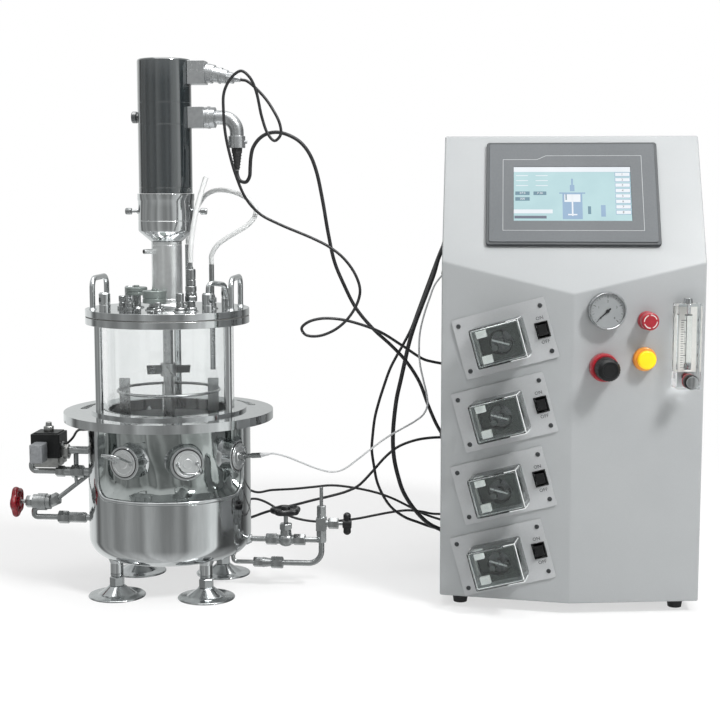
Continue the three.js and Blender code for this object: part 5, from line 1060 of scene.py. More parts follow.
# On the right a tube from the jacket runs through a globe valve to a tee with
# the sample cock, and returns low down to the nozzle under the pot.
steam = bmesh.new()
run(steam, "x", (0, 68), (115.3, 136, 3.75, 3.75, 24), (135, 151, 14, "hex"), (150, 176, 6.5, 6.5, 32))
bmesh.ops.create_uvsphere(
    steam, u_segments=40, v_segments=20, radius=10.5, matrix=moved(163, 0, 68) @ Matrix.Diagonal((1.1, 0.95, 0.95, 1))
)
run(steam, "z", (163, 0), (72, 83, 8.5, 7, 32), (82, 91, 16, "hex"), (90, 112.7, 3, 3, 24))
run(steam, "x", (0, 68), (174, 190.5, 14, "hex"), (189, 213, 3.75, 3.75, 24))
hexagon(steam, (213, 0, 65), (213, 0, 83), 13)
box(steam, (206, -7, 82), (220, 7, 100))
run(steam, "z", (213, 0), (99, 117, 12, "hex"), (116, 143, 2.5, 2.5, 24))
run(steam, "x", (0, 92), (219, 224, 5, 5, 24), (223, 237, 14, "hex"), (236, 247, 2.5, 2.5, 24))
pipe(steam, [(88, 0, 44.7), (88, 0, 34.7), (118, 0, 34.7)], 6, 3, 24, 8)
run(steam, "x", (0, 34.7), (117, 131, 12.5, "hex"), (130, 143, 7.25, 5.5, 32), (142, 159, 15, "hex"))
pipe(steam, [(158, 0, 34.7), (213, 0, 34.7), (213, 0, 68)], 18, 4, 24, 10)
settle(steam, "steam_and_sample_pipes", VESSEL, satin_steel, instead=["steam_valve"], edge=0.35)

probe = bmesh.new()


def probe_line(radius):
    return on_ring(radius, 70, PORT_HEIGHT + (radius - PORT_FACE) * math.tan(math.radians(7)))


bar(probe, probe_line(78), probe_line(134), 3, sides=24)
hexagon(probe, probe_line(113.5), probe_line(121), 10.4)
bar(probe, probe_line(131), probe_line(145), 3.6, sides=24)
settle(probe, "electrode_probe", VESSEL, satin_steel, instead=["side_probe"], edge=0.25)
boot = bmesh.new()
cable_start = Vector((142.3, -48.9, 197.05))
bar(boot, probe_line(144.6), cable_start, 3.1, 2.4, 24)
bar(boot, cable_start - Vector((0.4, 0, 0)), cable_start + Vector((5, 0.9, 0.45)), 2.4, 1.7, 24)
settle(boot, "electrode_boot", VESSEL, sheath_white, edge=0.15)

# The hand wheels are small lobed castings: a thick scalloped rim, five spokes
# and a bored hub held on the valve's stem by a nut.
red_enamel = finish(
    "red_wheel_enamel", (0.26, 0.008, 0.016), (0.15, 0.004, 0.009), 0.26, 0.42, scale=150, relief=0.25,
    Coat_Weight=0.25,
)


def hand_wheel(name, node, material):
    """A lobed wheel about its own axis, at its joint."""
    joint = next(j for j in frame["joints"] if j["child"] == node)
    axis = Vector(joint["axis"])
    place = Matrix.Translation(Vector(joint["pos_m"])) @ facing(axis) @ Matrix.Scale(0.001, 4)
    wheel = bmesh.new()
    section = [(17.6 + 3.1 * math.cos(math.radians(a)), 4.2 * math.sin(math.radians(a))) for a in range(0, 360, 30)]
    for vert in turned(wheel, section, 120, ring=True):
        turn = math.atan2(vert.co.y, vert.co.x)
        swell = 1 + 0.085 * math.cos(5 * turn)
        vert.co.x, vert.co.y = vert.co.x * swell, vert.co.y * swell
    for i in range(5):
        turn = spun(72 * i, "Z")
        bmesh.ops.create_cone(
            wheel, cap_ends=True, segments=20, radius1=3.6, radius2=4.6, depth=11,
            matrix=turn @ moved(11, 0, 0) @ spun(90, "Y") @ Matrix.Diagonal((0.55, 1, 1, 1)),
        )
    turned(wheel, [(3.3, -5.5), (6.5, -5.5), (6.5, 4), (5.4, 6.2), (3.3, 6.2)], 40, ring=True)
    hexagon(wheel, (0, 0, 4.4), (0, 0, 6.4), 8)
    settle(wheel, name, place, material, body=node, instead=[node], edge=0.4)


dull_black = finish(
    "black_wheel_enamel", (0.005, 0.005, 0.006), (0.01, 0.01, 0.011), 0.3, 0.44, scale=150, relief=0.2,
)
hand_wheel("outlet_wheel", "red_handwheel", red_enamel)
hand_wheel("steam_wheel", "black_handwheel", dull_black)
handle = bmesh.new()
run(handle, "x", (0, 0), (-6, 6, 6.5, 6.5, 32))
run(handle, "z", (0, 0), (-13, 13, 5.2, 5.2, 32))
for side in (-1, 1):
    bmesh.ops.create_uvsphere(handle, u_segments=24, v_segments=12, radius=5.4, matrix=moved(0, 0, side * 10.6))
joint = next(j for j in frame["joints"] if j["child"] == "sample_handle")
settle(
    handle, "sample_cock_handle", Matrix.Translation(Vector(joint["pos_m"])) @ Matrix.Scale(0.001, 4), dull_black,
    body="sample_handle", instead=["sample_handle"], edge=0.4,
)

# The control cabinet is folded from sheet steel and powder coated light grey.
# Its front is bent to a shallow ridge and slopes back above. It has slots for
# air behind, four rubber feet, and a rubber boot for each cable on its side.
panel_low, panel_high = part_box("touch_panel")
shell_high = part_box("cabinet_shell")[1]
CABINET_WIDTH, CABINET_DEPTH = 340, 380
SLOPE_Y, SLOPE_Z = 59.08, 547
FACE_ANGLE, SLOPE_ANGLE = 9.19, 34.49
CABINET = moved((panel_low.x + panel_high.x) / 2, shell_high.y - 0.38, 0) @ Matrix.Scale(0.001, 4)
LEFT = CABINET @ moved(-85, -13.75, 0) @ spun(-FACE_ANGLE, "Z")
RIGHT = CABINET @ moved(85, -13.75, 0) @ spun(FACE_ANGLE, "Z")
SLOPE = CABINET @ moved(0, SLOPE_Y, SLOPE_Z) @ spun(-SLOPE_ANGLE, "X")
PUMPS = [LEFT @ moved(-2, 0, z) @ spun(-15.7, "Y") for z in (362, 265, 168, 72)]
GAUGE_AT, STOP_AT, LAMP_AT, REGULATOR_AT, ROTAMETER_AT = (-45, 400), (8.6, 387), (6.7, 337), (-47.1, 327), (58.4, 355)


def on_face(at):
    """A place on the right face, local Z pointing out of it."""
    return RIGHT @ moved(at[0], 0, at[1]) @ spun(90, "X")


powder_coat = finish(
    "light_grey_powder_coat", (0.4, 0.415, 0.42), (0.375, 0.39, 0.397), 0.42, 0.5, scale=900, relief=0.18,
)


def cabinet_body(inset, edge):
    """The cabinet's closed outer shape, smaller all round by an inset."""
    bm = bmesh.new()
    side, lift = CABINET_WIDTH / 2 - inset, inset / math.cos(math.radians(FACE_ANGLE))
    front, rise = lift - 27.5, side * math.tan(math.radians(FACE_ANGLE))
    plan = [
        (0, front), (side, front + rise), (side, CABINET_DEPTH - inset), (-side, CABINET_DEPTH - inset),
        (-side, front + rise),
    ]
    floor = bm.faces.new([bm.verts.new((x, y, 15 + inset)) for x, y in plan])
    pushed(bm, [floor], (0, 0, 611 - 2 * inset))
    tilt = math.radians(SLOPE_ANGLE)
    cut = bmesh.ops.bisect_plane(
        bm, geom=bm.verts[:] + bm.edges[:] + bm.faces[:], clear_outer=True,
        plane_co=(0, SLOPE_Y + inset * math.cos(tilt), SLOPE_Z - inset * math.sin(tilt)),
        plane_no=(0, -math.cos(tilt), math.sin(tilt)),
    )
    bmesh.ops.contextual_create(bm, geom=[e for e in cut["geom_cut"] if isinstance(e, bmesh.types.BMEdge)])
    bmesh.ops.recalc_face_normals(bm, faces=bm.faces)
    if edge:
        bmesh.ops.bevel(
            bm, geom=bm.edges[:], offset=edge, segments=4, profile=0.5, affect="EDGES", material=-1,
            clamp_overlap=True,
        )
    return bm


def face_bar(bm, at, start, end, radius, end_radius=None, sides=48):
    """A round bar square to a face, at a place along it and a height."""
    run(bm, "y", (at[0], at[1]), (start, end, radius, end_radius, sides))


def tile(bm, low, high, back, front):
    """A thin rectangle on a face, between two corners given along it and up it."""
    box(bm, (low[0], min(back, front), low[1]), (high[0], max(back, front), high[1]))


TO_CABINET = CABINET.inverted()
tool = cabinet_body(1.5, 0)
hole = bmesh.new()
box(hole, (-104.55, -20, -72.8), (104.55, 20, 72.8), TO_CABINET @ SLOPE)
for place in PUMPS:
    box(hole, (-50, -15, -35), (50, 15, 35), TO_CABINET @ place)
    box(hole, (38.3, -14, -11.75), (58.05, 14, 9.75), TO_CABINET @ place)
for row in range(5):
    box(hole, (-60, 374, 480 + 14 * row), (60, 384, 485 + 14 * row))
merged(tool, hole)
round_holes = bmesh.new()
for at, radius in (
    (GAUGE_AT, 6.4), (STOP_AT, 7.4), (LAMP_AT, 7.4), (REGULATOR_AT, 5.7),
    ((ROTAMETER_AT[0], ROTAMETER_AT[1] + 40), 5.4), ((ROTAMETER_AT[0], ROTAMETER_AT[1] - 40), 5.4),
):
    face_bar(round_holes, at, 40, -40, radius, sides=32)
round_holes.transform(TO_CABINET @ RIGHT)
merged(tool, round_holes)
settle(
    carved(cabinet_body(0, 2.2), tool), "cabinet_sheet", CABINET, powder_coat,
    instead=["cabinet_shell"], edge=0.3, fold=28,
)

soft_black = finish("black_rubber", (0.018, 0.018, 0.019), (0.032, 0.032, 0.034), 0.5, 0.68, scale=260, relief=0.3)
feet = bmesh.new()
for x in (-143, 143):
    for y in (27, 353):
        run(feet, "z", (x, y), (0, 13, 9, 11, 40), (12.5, 15.2, 11, 11, 40))
settle(feet, "cabinet_feet", CABINET, soft_black, edge=0.5)
boots = bmesh.new()
for name, (diameter, stiffness, points) in CORDS.items():
    ends = [] if name == "silicone_hose" else [points[-2:]]
    if name in ("bundle_cable", "sensor_cable"):
        ends.append(points[1::-1])
    for before, tip in ends:
        tip, before = Vector(tip), Vector(before)
        along = (tip - before).normalized()
        wall = tip + along * ((shell_high.x * 1000 - CABINET_WIDTH - tip.x) / along.x)
        start = tip + along * 0.3
        bar(boots, start, wall + along, diameter / 2 + 1.1, 5.4, 32)
        for share in (0.3, 0.5, 0.7):
            ring_at = start.lerp(wall, share)
            size = diameter / 2 + 1.1 + (4.3 - diameter / 2) * share
            bar(boots, ring_at, ring_at + along * 1.2, size + 0.35, sides=32)
settle(boots, "cable_boots", Matrix.Scale(0.001, 4), soft_black, edge=0.2)

ivory = finish("ivory_moulding", (0.74, 0.73, 0.7), (0.66, 0.65, 0.62), 0.35, 0.5, scale=240, relief=0.12)
amber_rim = finish("amber_bezel", (0.85, 0.36, 0.05), (0.75, 0.28, 0.03), 0.28, 0.42, scale=240, Coat_Weight=0.3)
red_plastic = finish(
    "red_moulding", (0.42, 0.018, 0.03), (0.33, 0.012, 0.022), 0.24, 0.4, scale=240, relief=0.08, Coat_Weight=0.4,
)
for name, at, radius, hole_radius, proud, look, slot in (
    ("stop_collar", STOP_AT, 12, 7.4, 6, red_plastic, "red_plastic"),
    ("lamp_collar", LAMP_AT, 15.5, 7.4, 6, amber_rim, "amber_lens"),
    ("regulator_collar", REGULATOR_AT, 18.5, 5.7, 13, red_plastic, "red_plastic"),
):
    collar = bmesh.new()
    place = on_face(at)
    turned(
        collar,
        [
            (hole_radius, -0.2), (radius - 0.3, -0.2), (radius, 0.4), (radius, proud * 0.55),
            (radius - 0.7, proud * 0.9), (radius - 1.6, proud), (hole_radius + 2.4, proud),
            (hole_radius + 1.9, proud - 1.2), (hole_radius, proud - 1.4),
        ],
        64, ring=True,
    )
    settle(collar, name, place, look, edge=0.2)

# The touch panel is a grey moulded bezel round a flat glass screen. The screen
# is lit and shows a plain drawing of a stirred tank between rows of values.
bezel_grey = finish("panel_bezel", (0.1, 0.11, 0.118), (0.085, 0.094, 0.101), 0.38, 0.5, scale=420, relief=0.15)
bezel_dark = finish("panel_rim", (0.05, 0.056, 0.06), (0.04, 0.045, 0.049), 0.4, 0.52, scale=420, relief=0.15)


def rounded_plate(bm, width, height, corner, back, front, steps=10, place=Matrix()):
    """A plate with round corners, square to a face."""
    half_w, half_h = width / 2 - corner, height / 2 - corner
    outline = []
    for cx, cz, start in ((half_w, half_h, 0), (-half_w, half_h, 90), (-half_w, -half_h, 180), (half_w, -half_h, 270)):
        outline += [(cx + x, cz + z) for x, z in arc(0, 0, corner, start, start + 90, steps)]
    face = bm.faces.new([bm.verts.new(place @ Vector((x, back, z))) for x, z in outline])
    pushed(bm, [face], place.to_3x3() @ Vector((0, front - back, 0)))


rim = bmesh.new()
rounded_plate(rim, 226.5, 163, 4, -0.3, -5.2)
rear = bmesh.new()
box(rear, (-103.8, -4, -72), (103.8, 34, 72))
screen_well = bmesh.new()
tile(screen_well, (-77, -45), (77, 41), -5.1, -9)
settle(merged(rim, rear), "panel_housing", SLOPE, bezel_dark, instead=["touch_panel"], edge=0.9)
bezel = bmesh.new()
rounded_plate(bezel, 219, 155.5, 3, -4.4, -6.3)
settle(carved(bezel, screen_well), "panel_bezel_front", SLOPE, bezel_grey, edge=0.5)
border = bmesh.new()
for low, high in (
    ((-91.5, -60.6), (-90.8, 52.8)), ((91.6, -60.6), (92.3, 59)), ((-91.5, -60.6), (92.3, -59.9)),
    ((-91.5, 52.1), (-46, 52.8)), ((-34, 58.3), (92.3, 59)),
):
    tile(border, low, high, -6.25, -6.38)
slant = moved(-40, 0, 55.55) @ spun(-27.5, "Y")
box(border, (-7, -6.38, -0.35), (7, -6.25, 0.35), slant)
line_grey = finish("panel_line_print", (0.42, 0.43, 0.44), (0.36, 0.37, 0.38), 0.4, 0.5)
settle(border, "panel_border_line", SLOPE, line_grey, edge=0)


def lit(name, light, dark, strength=0.9, own=0.03):
    """A lit area: it glows in its colour and reflects little."""
    made = finish(name, light, dark, 0.12, 0.2, scale=30, relief=0.0, Emission_Strength=strength)
    nodes, links = made.node_tree.nodes, made.node_tree.links
    shader = nodes["Principled BSDF"]
    group = next(n for n in nodes if n.type == "GROUP")
    links.new(group.outputs["Colour"], shader.inputs["Emission Color"])
    if own < 1:
        links.remove(shader.inputs["Base Color"].links[0])
        shader.inputs["Base Color"].default_value = (own, own, own, 1)
    return made


SCREEN_Y = -5.25
areas = {
    "ground": (lit("screen_ground", (0.4, 0.63, 0.66), (0.34, 0.56, 0.6)), [((-77, -45), (77, 41))]),
    "blue": (
        lit("screen_blue", (0.2, 0.36, 0.55), (0.15, 0.29, 0.47)),
        [((-13, -42), (13, -2)), ((-17, -2), (17, 0)), ((-1.2, 12), (1.2, 22)), ((-3, 2), (3, 12)),
         ((37, -38), (43, -20))]
        + [((56.2, 25.6 - 8.6 * i), (76.4, 32.2 - 8.6 * i)) for i in range(8)],
    ),
    "white": (
        lit("screen_white", (0.8, 0.84, 0.88), (0.72, 0.77, 0.82)),
        [((-77, 33), (77, 41)), ((-77, -33), (-26, -27)), ((-10.5, -15), (10.5, -3)), ((-1, -37), (1, -3)),
         ((-6, -36), (6, -34))]
        + [((56.9, 26.3 - 8.6 * i), (75.7, 31.5 - 8.6 * i)) for i in range(8)]
        + [((-74 + 26 * j, 26.5 - 8 * i), (-58 + 26 * j, 27.5 - 8 * i)) for i in range(3) for j in range(2)],
    ),
    "teal": (
        lit("screen_teal", (0.03, 0.17, 0.25), (0.02, 0.13, 0.2)),
        [((-75, -4), (-56, 1.5)), ((-51, -4), (-34, 1.5)), ((-75, -13), (-56, -7.5)), ((20, -34), (24, -22)),
         ((-9, -12), (-7.4, -3))],
    ),
    "slate": (lit("screen_slate", (0.03, 0.05, 0.12), (0.02, 0.035, 0.09)), [((-76, -41), (-34, -37))]),
}
for level, (label, (look, patches)) in enumerate(
    [(k, areas[k]) for k in ("ground", "blue", "white", "teal", "slate")]
):
    patch = bmesh.new()
    for low, high in patches:
        tile(patch, low, high, SCREEN_Y + 0.3, SCREEN_Y - 0.08 * level)
    settle(patch, "screen_" + label, SLOPE, look, edge=0)


def lettering(name, words, place, look, body="station", relief=0.12):
    """Short plain figures on a face, each given with its place along it, its height and its size."""
    made = bmesh.new()
    for text, x, z, y, size in words:
        drawn = bpy.data.curves.new("figure", "FONT")
        drawn.body, drawn.size, drawn.extrude = text, size, relief / 2
        drawn.align_x, drawn.align_y, drawn.resolution_u = "CENTER", "CENTER", 2
        holder = bpy.data.objects.new("figure", drawn)
        scene.collection.objects.link(holder)
        mesh = bpy.data.meshes.new_from_object(holder.evaluated_get(bpy.context.evaluated_depsgraph_get()))
        mesh.transform(moved(x, y, z) @ spun(90, "X"))
        made.from_mesh(mesh)
        bpy.data.objects.remove(holder)
        bpy.data.meshes.remove(mesh)
        bpy.data.curves.remove(drawn)
    return settle(made, name, place, look, body=body, edge=0)


ink = finish("black_print", (0.012, 0.012, 0.013), (0.02, 0.02, 0.021), 0.4, 0.5)
figures = (("37.0", -65.5, -1.3), ("7.20", -42.5, -1.3), ("300", -65.5, -10.3))
words = [(value, x, z, SCREEN_Y - 0.38, 4.6) for value, x, z in figures]
lettering("screen_figures", words, SLOPE, areas["white"][0])
words = [(f"{i + 1}", 66, 28.8 - 8.6 * i, SCREEN_Y - 0.3, 4.4) for i in range(8)]
lettering("screen_button_figures", words, SLOPE, ink)

# Each of the four dosing pumps has a painted plate held by four screws, a dark
# head with a three-roller rotor under a smoked hinged cover, and a rocker.
plate_paint = finish("pump_plate_paint", (0.47, 0.482, 0.49), (0.43, 0.442, 0.45), 0.34, 0.45, scale=500, relief=0.12)
head_moulding = finish(
    "pump_head_moulding", (0.022, 0.028, 0.026), (0.015, 0.02, 0.018), 0.4, 0.55, scale=320, relief=0.2,
)
smoked = clear("smoked_cover", (0.8, 0.84, 0.83), 0.03, 1.45, 0.4, (0.74, 0.78, 0.77))
# Near-white for strips on the covers' right edges: a painted highlight where light catches the clear covers' edges.
cover_edge_highlight = finish("painted_cover_edge_highlight", (0.85, 0.87, 0.87), (0.76, 0.78, 0.78), 0.2, 0.35, scale=200)
rotor_steel = finish(
    "rotor_steel", (0.56, 0.57, 0.575), (0.42, 0.43, 0.435), 0.2, 0.36, scale=200, relief=0.1, Metallic=1.0,
)
screw_steel = finish(
    "blackened_screws", (0.16, 0.165, 0.17), (0.08, 0.083, 0.086), 0.3, 0.45, scale=200, relief=0.1, Metallic=1.0,
)
roller_grey = finish("roller_nylon", (0.075, 0.085, 0.083), (0.055, 0.062, 0.06), 0.35, 0.48, scale=240)
roller_white = finish("roller_moulding", (0.84, 0.84, 0.83), (0.78, 0.78, 0.77), 0.35, 0.48, scale=240)
PLATE_FRONT, HEAD_FRONT, ROTOR_FLOOR = -2.3, -24.3, -6.3
COVER_X, COVER_Z = -3, -2
for number, place in enumerate(PUMPS, 1):
    module, rocker_slot = bmesh.new(), bmesh.new()
    rounded_plate(module, 125, 80, 2, -0.3, PLATE_FRONT, 5)
    box(rocker_slot, (43.5, -4, -10.3), (57.1, 2, 8.3))
    screws = bmesh.new()
    for x in (-55, 55):
        for z in (-30.25, 30.25):
            face_bar(screws, (x, z), PLATE_FRONT + 0.2, PLATE_FRONT - 0.9, 3.2, 2.6, 24)
    settle(screws, f"pump_screws_{number}", place, screw_steel, edge=0.2)
    settle(
        carved(module, rocker_slot), f"pump_plate_{number}", place, plate_paint,
        instead=[f"pump_module_{number}"], edge=0.25,
    )
    head, chamber = bmesh.new(), bmesh.new()
    box(head, (COVER_X - 27, HEAD_FRONT, COVER_Z - 22), (COVER_X + 27, PLATE_FRONT + 0.5, COVER_Z + 22))
    run(chamber, "y", (COVER_X, COVER_Z), (ROTOR_FLOOR, HEAD_FRONT - 2, 16.5, 16.5, 64))
    mouth = bmesh.new()
    box(mouth, (COVER_X - 29, HEAD_FRONT - 2, COVER_Z - 12), (COVER_X, ROTOR_FLOOR - 4, COVER_Z + 12))
    head = carved(head, merged(chamber, mouth))
    run(head, "y", (COVER_X, COVER_Z), (PLATE_FRONT + 0.6, 62, 20.8, 20.8, 48))
    settle(head, f"pump_head_{number}", place, head_moulding, edge=0.5)
    settle(
        new_shape(box, (-33.8, PLATE_FRONT - 0.7, COVER_Z - 23.8), (27.8, PLATE_FRONT + 0.2, COVER_Z + 23.8)),
        f"pump_mat_{number}", place, head_moulding, edge=0.3,
    )
    clamps = bmesh.new()
    for side in (-1, 1):
        z = COVER_Z + side * 17
        box(clamps, (COVER_X - 27, HEAD_FRONT - 8, z - 5), (COVER_X - 14.5, HEAD_FRONT + 0.5, z + 5))
        run(clamps, "y", (COVER_X - 21.5, z), (HEAD_FRONT - 7.5, HEAD_FRONT - 8, 3, 3, 24))
    settle(clamps, f"pump_clamps_{number}", place, roller_white, edge=0.8)
    knuckles = bmesh.new()
    for side in (-1, 1):
        z = COVER_Z + side * 20
        run(knuckles, "z", (-38, -4.6), (z - 3, z + 3, 1.7, 1.7, 20))
        box(knuckles, (-39.2, -4.6, z - 3), (-36.8, -2.2, z + 3))
    settle(knuckles, f"pump_knuckles_{number}", place, roller_white, edge=0.2)

    cover, inside = bmesh.new(), bmesh.new()
    box(cover, (-36, -47.6, COVER_Z - 26), (30, -2.6, COVER_Z + 26))
    box(inside, (-34, -45.6, COVER_Z - 24), (28, 0, COVER_Z + 24))
    bmesh.ops.bevel(inside, geom=inside.edges[:], offset=2.5, segments=4, profile=0.5, affect="EDGES", material=-1)
    bmesh.ops.bevel(
        cover, geom=[e for e in cover.edges if min(v.co.y for v in e.verts) < -40], offset=3, segments=5, profile=0.5,
        affect="EDGES", material=-1,
    )
    settle(
        carved(cover, inside), f"cover_{number}", place, smoked, body=f"pump_cover_{number}",
        instead=[f"pump_cover_{number}"], edge=0.3,
    )
    # Near-white strips along each cover's right edges and corners: painted highlights of the clear cover's edges.
    edges = bmesh.new()
    for low, high in (
        ((28.9, -47.3, -26 + COVER_Z + 1), (29.9, -46.3, 26 + COVER_Z - 1)),
        ((28.9, -46.3, 24.9 + COVER_Z), (29.9, -14, 25.9 + COVER_Z)),
        ((28.9, -46.3, -25.9 + COVER_Z), (29.9, -14, -24.9 + COVER_Z)),
        ((14, -47.3, 24.9 + COVER_Z), (28.9, -46.3, 25.9 + COVER_Z)),
        ((8, -47.3, -25.9 + COVER_Z), (28.9, -46.3, -24.9 + COVER_Z)),
    ):
        box(edges, low, high)
    settle(edges, f"cover_edge_highlights_{number}", place, cover_edge_highlight, body=f"pump_cover_{number}", edge=0.2)
    barrel = bmesh.new()
    run(barrel, "z", (-38, -4.6), (COVER_Z - 14, COVER_Z + 14, 1.8, 1.8, 24))
    box(barrel, (-38, -6.2, COVER_Z - 14), (-35.2, -4, COVER_Z + 14))
    settle(
        barrel, f"cover_hinge_{number}", place, roller_white, body=f"pump_cover_{number}", edge=0.2,
    )

    rotor = bmesh.new()
    body = f"pump_rotor_{number}"
    run(
        rotor, "y", (COVER_X, COVER_Z), (ROTOR_FLOOR - 0.3, ROTOR_FLOOR - 3.3, 14.5, 14.5, 64),
        (ROTOR_FLOOR - 2.3, -21.8, 4, 4, 32),
    )
    settle(rotor, f"rotor_{number}", place, screw_steel, body=body, instead=[body], edge=0.3)
    lever = bmesh.new()
    slant = moved(COVER_X, 0, COVER_Z) @ spun(28, "Y")
    box(lever, (-12, -23.3, -1.1), (12, -21.3, 1.1), slant)
    settle(lever, f"rotor_lever_{number}", place, rotor_steel, body=body, edge=0.3)
    rollers = bmesh.new()
    for angle in (90, 210, 330):
        x, z = COVER_X + 11.3 * math.cos(math.radians(angle)), COVER_Z + 11.3 * math.sin(math.radians(angle))
        run(rollers, "y", (x, z), (ROTOR_FLOOR - 2.3, -20.3, 4.1, 4.1, 40))
    settle(rollers, f"rotor_rollers_{number}", place, roller_grey, body=body, edge=0.3)

    rocker = bmesh.new()
    rise = 7.25 * math.tan(math.radians(8))
    outline = [(-7.25, 3 + rise), (0, 3), (7.25, 3 + rise), (5.75, 0.4), (2.5, -8), (-2.5, -8), (-5.75, 0.4)]
    face = rocker.faces.new([rocker.verts.new((44.3, PLATE_FRONT - y, -1 + z)) for z, y in outline])
    pushed(rocker, [face], (12, 0, 0))
    body = f"rocker_switch_{number}"
    settle(rocker, f"rocker_{number}", place, black_moulding, body=body, instead=[body], edge=0.5)
    frame_rim, window = bmesh.new(), bmesh.new()
    box(frame_rim, (41.6, PLATE_FRONT - 0.9, -11.6), (59, PLATE_FRONT + 0.2, 9.6))
    box(window, (43.5, -5, -10.3), (57.1, 2, 8.3))
    settle(carved(frame_rim, window), f"rocker_frame_{number}", place, black_moulding, edge=0.3)
    lettering(
        f"pump_words_{number}",
        [("ON", 50.3, 14.6, PLATE_FRONT - 0.05, 6.4), ("OFF", 50.3, -16.8, PLATE_FRONT - 0.05, 6.4)], place, ink,
        relief=0.1,
    )

# The pressure gauge is a chromed case pressed round a white enamelled dial with
# plain figures. A black needle turns on a stud in the middle of the dial.
chrome = finish(
    "chromed_case", (0.6, 0.61, 0.615), (0.48, 0.49, 0.5), 0.05, 0.12, scale=120, relief=0.02, Metallic=1.0,
)
dial_white = finish("white_dial", (0.31, 0.325, 0.33), (0.27, 0.285, 0.29), 0.4, 0.5)
gauge_place = on_face(GAUGE_AT)
case = bmesh.new()
turned(
    case,
    [
        (0, 0.3), (23.2, 0.3), (23.9, 0.9), (23.9, 8), (24.5, 9), (24.5, 12.6), (23.6, 14), (22.7, 14.25),
        (22.1, 13.7), (22.1, 10.8), (0, 10.8),
    ],
    96,
)
run(case, "z", (0, 0), (0.5, -24, 6, 6, 32))
settle(case, "gauge_case", gauge_place, chrome, instead=["pressure_gauge"], edge=0)
settle(
    new_shape(turned, [(0, 10.6), (21.9, 10.6), (21.9, 11.05), (0, 11.05)], 72), "gauge_dial", gauge_place,
    dial_white, edge=0,
)
marks = bmesh.new()
for step in range(25):
    inner, wide = (16.4, 0.34) if step % 6 == 0 else ((17.6, 0.22) if step % 3 == 0 else (18.6, 0.13))
    box(marks, (inner, -wide, 10.9), (20.2, wide, 11.12), spun(225 - 270 * step / 24, "Z"))
settle(marks, "gauge_marks", gauge_place, ink, edge=0)
figures = []
for step, figure in enumerate("01234"):
    angle = math.radians(225 - 67.5 * step)
    figures.append((figure, GAUGE_AT[0] + 12.6 * math.cos(angle), GAUGE_AT[1] + 12.6 * math.sin(angle), -11.05, 4.4))
lettering("gauge_figures", figures, RIGHT, ink, relief=0.16)
needle = bmesh.new()
blade = [(-5, -1), (0, -1.1), (16.5, -0.3), (16.5, 0.3), (0, 1.1), (-5, 1)]
face = needle.faces.new([needle.verts.new((x, y, 12.1)) for x, y in blade])
pushed(needle, [face], (0, 0, 0.6))
run(needle, "z", (0, 0), (12, 13, 2.4, 2, 32))
needle.transform(spun(222, "Z"))
settle(needle, "needle", gauge_place, ink, body="gauge_needle", instead=["gauge_needle"], edge=0.1)

# Two push buttons sit beside the gauge: a red one with a broken white ring, and
# a lit yellow one in an amber collar. Both are glossy moulded plastic.


def push_button(name, node, at, radius, head, look):
    """A mushroom-edged push button on its stem."""
    button = bmesh.new()
    seat = 10.5
    turned(
        button,
        [
            (0, -14), (7, -14), (7, seat), (radius - 0.5, seat), (radius, seat + 0.6), (radius, seat + head - 2.2),
            *arc(radius - 2.4, seat + head - 2.4, 2.4, 0, 90, 6), (0, seat + head),
        ],
        64,
    )
    place = on_face(at)
    settle(button, name, place, look, body=node, instead=[node], edge=0)


amber_lens = lit("amber_lens", (0.95, 0.68, 0.015), (0.9, 0.58, 0.01), 0.3, 1)
push_button("stop_cap", "stop_button", STOP_AT, 11.5, 10, red_plastic)
ring = bmesh.new()
for start in (-70, 20, 110, 200):
    angle = math.radians(start)
    section = [
        ring.verts.new((r * math.cos(angle), r * math.sin(angle), z))
        for r, z in ((7.7, 20.3), (8.9, 20.3), (8.9, 20.58), (7.7, 20.58))
    ]
    face = ring.faces.new(section)
    bmesh.ops.spin(
        ring, geom=section + face.edges[:] + [face], cent=(0, 0, 0), axis=(0, 0, 1), angle=math.radians(70), steps=14,
    )
place = on_face(STOP_AT)
settle(ring, "stop_cap_ring", place, ivory, body="stop_button", edge=0)
push_button("lamp_cap", "lamp_button", LAMP_AT, 12, 6, amber_lens)

# The gas regulator has a fluted black knob over its red collar. The rotameter
# beside it is a clear block with a tapered bore, a steel float and a knob.
knob_place = on_face(REGULATOR_AT)
grip = bmesh.new()
turned(
    grip,
    [
        (0, -18), (5, -18), (5, 13.4), (14, 13.4), (14.75, 14.2), (14.75, 33.8), (13.75, 35.6), (10.8, 38.2),
        (9.4, 38.2), (9, 37.5), (0, 37.5),
    ],
    96,
)
for vert in grip.verts:
    radius = math.hypot(vert.co.x, vert.co.y)
    if radius > 13.9 and 16 < vert.co.z < 35:
        turn = math.atan2(vert.co.y, vert.co.x)
        shrink = 1 - 0.035 * (0.5 - 0.5 * math.cos(24 * turn))
        vert.co.x, vert.co.y = vert.co.x * shrink, vert.co.y * shrink
settle(
    grip, "regulator_grip", knob_place, black_moulding, body="regulator_knob",
    instead=["regulator_knob"], edge=0,
)

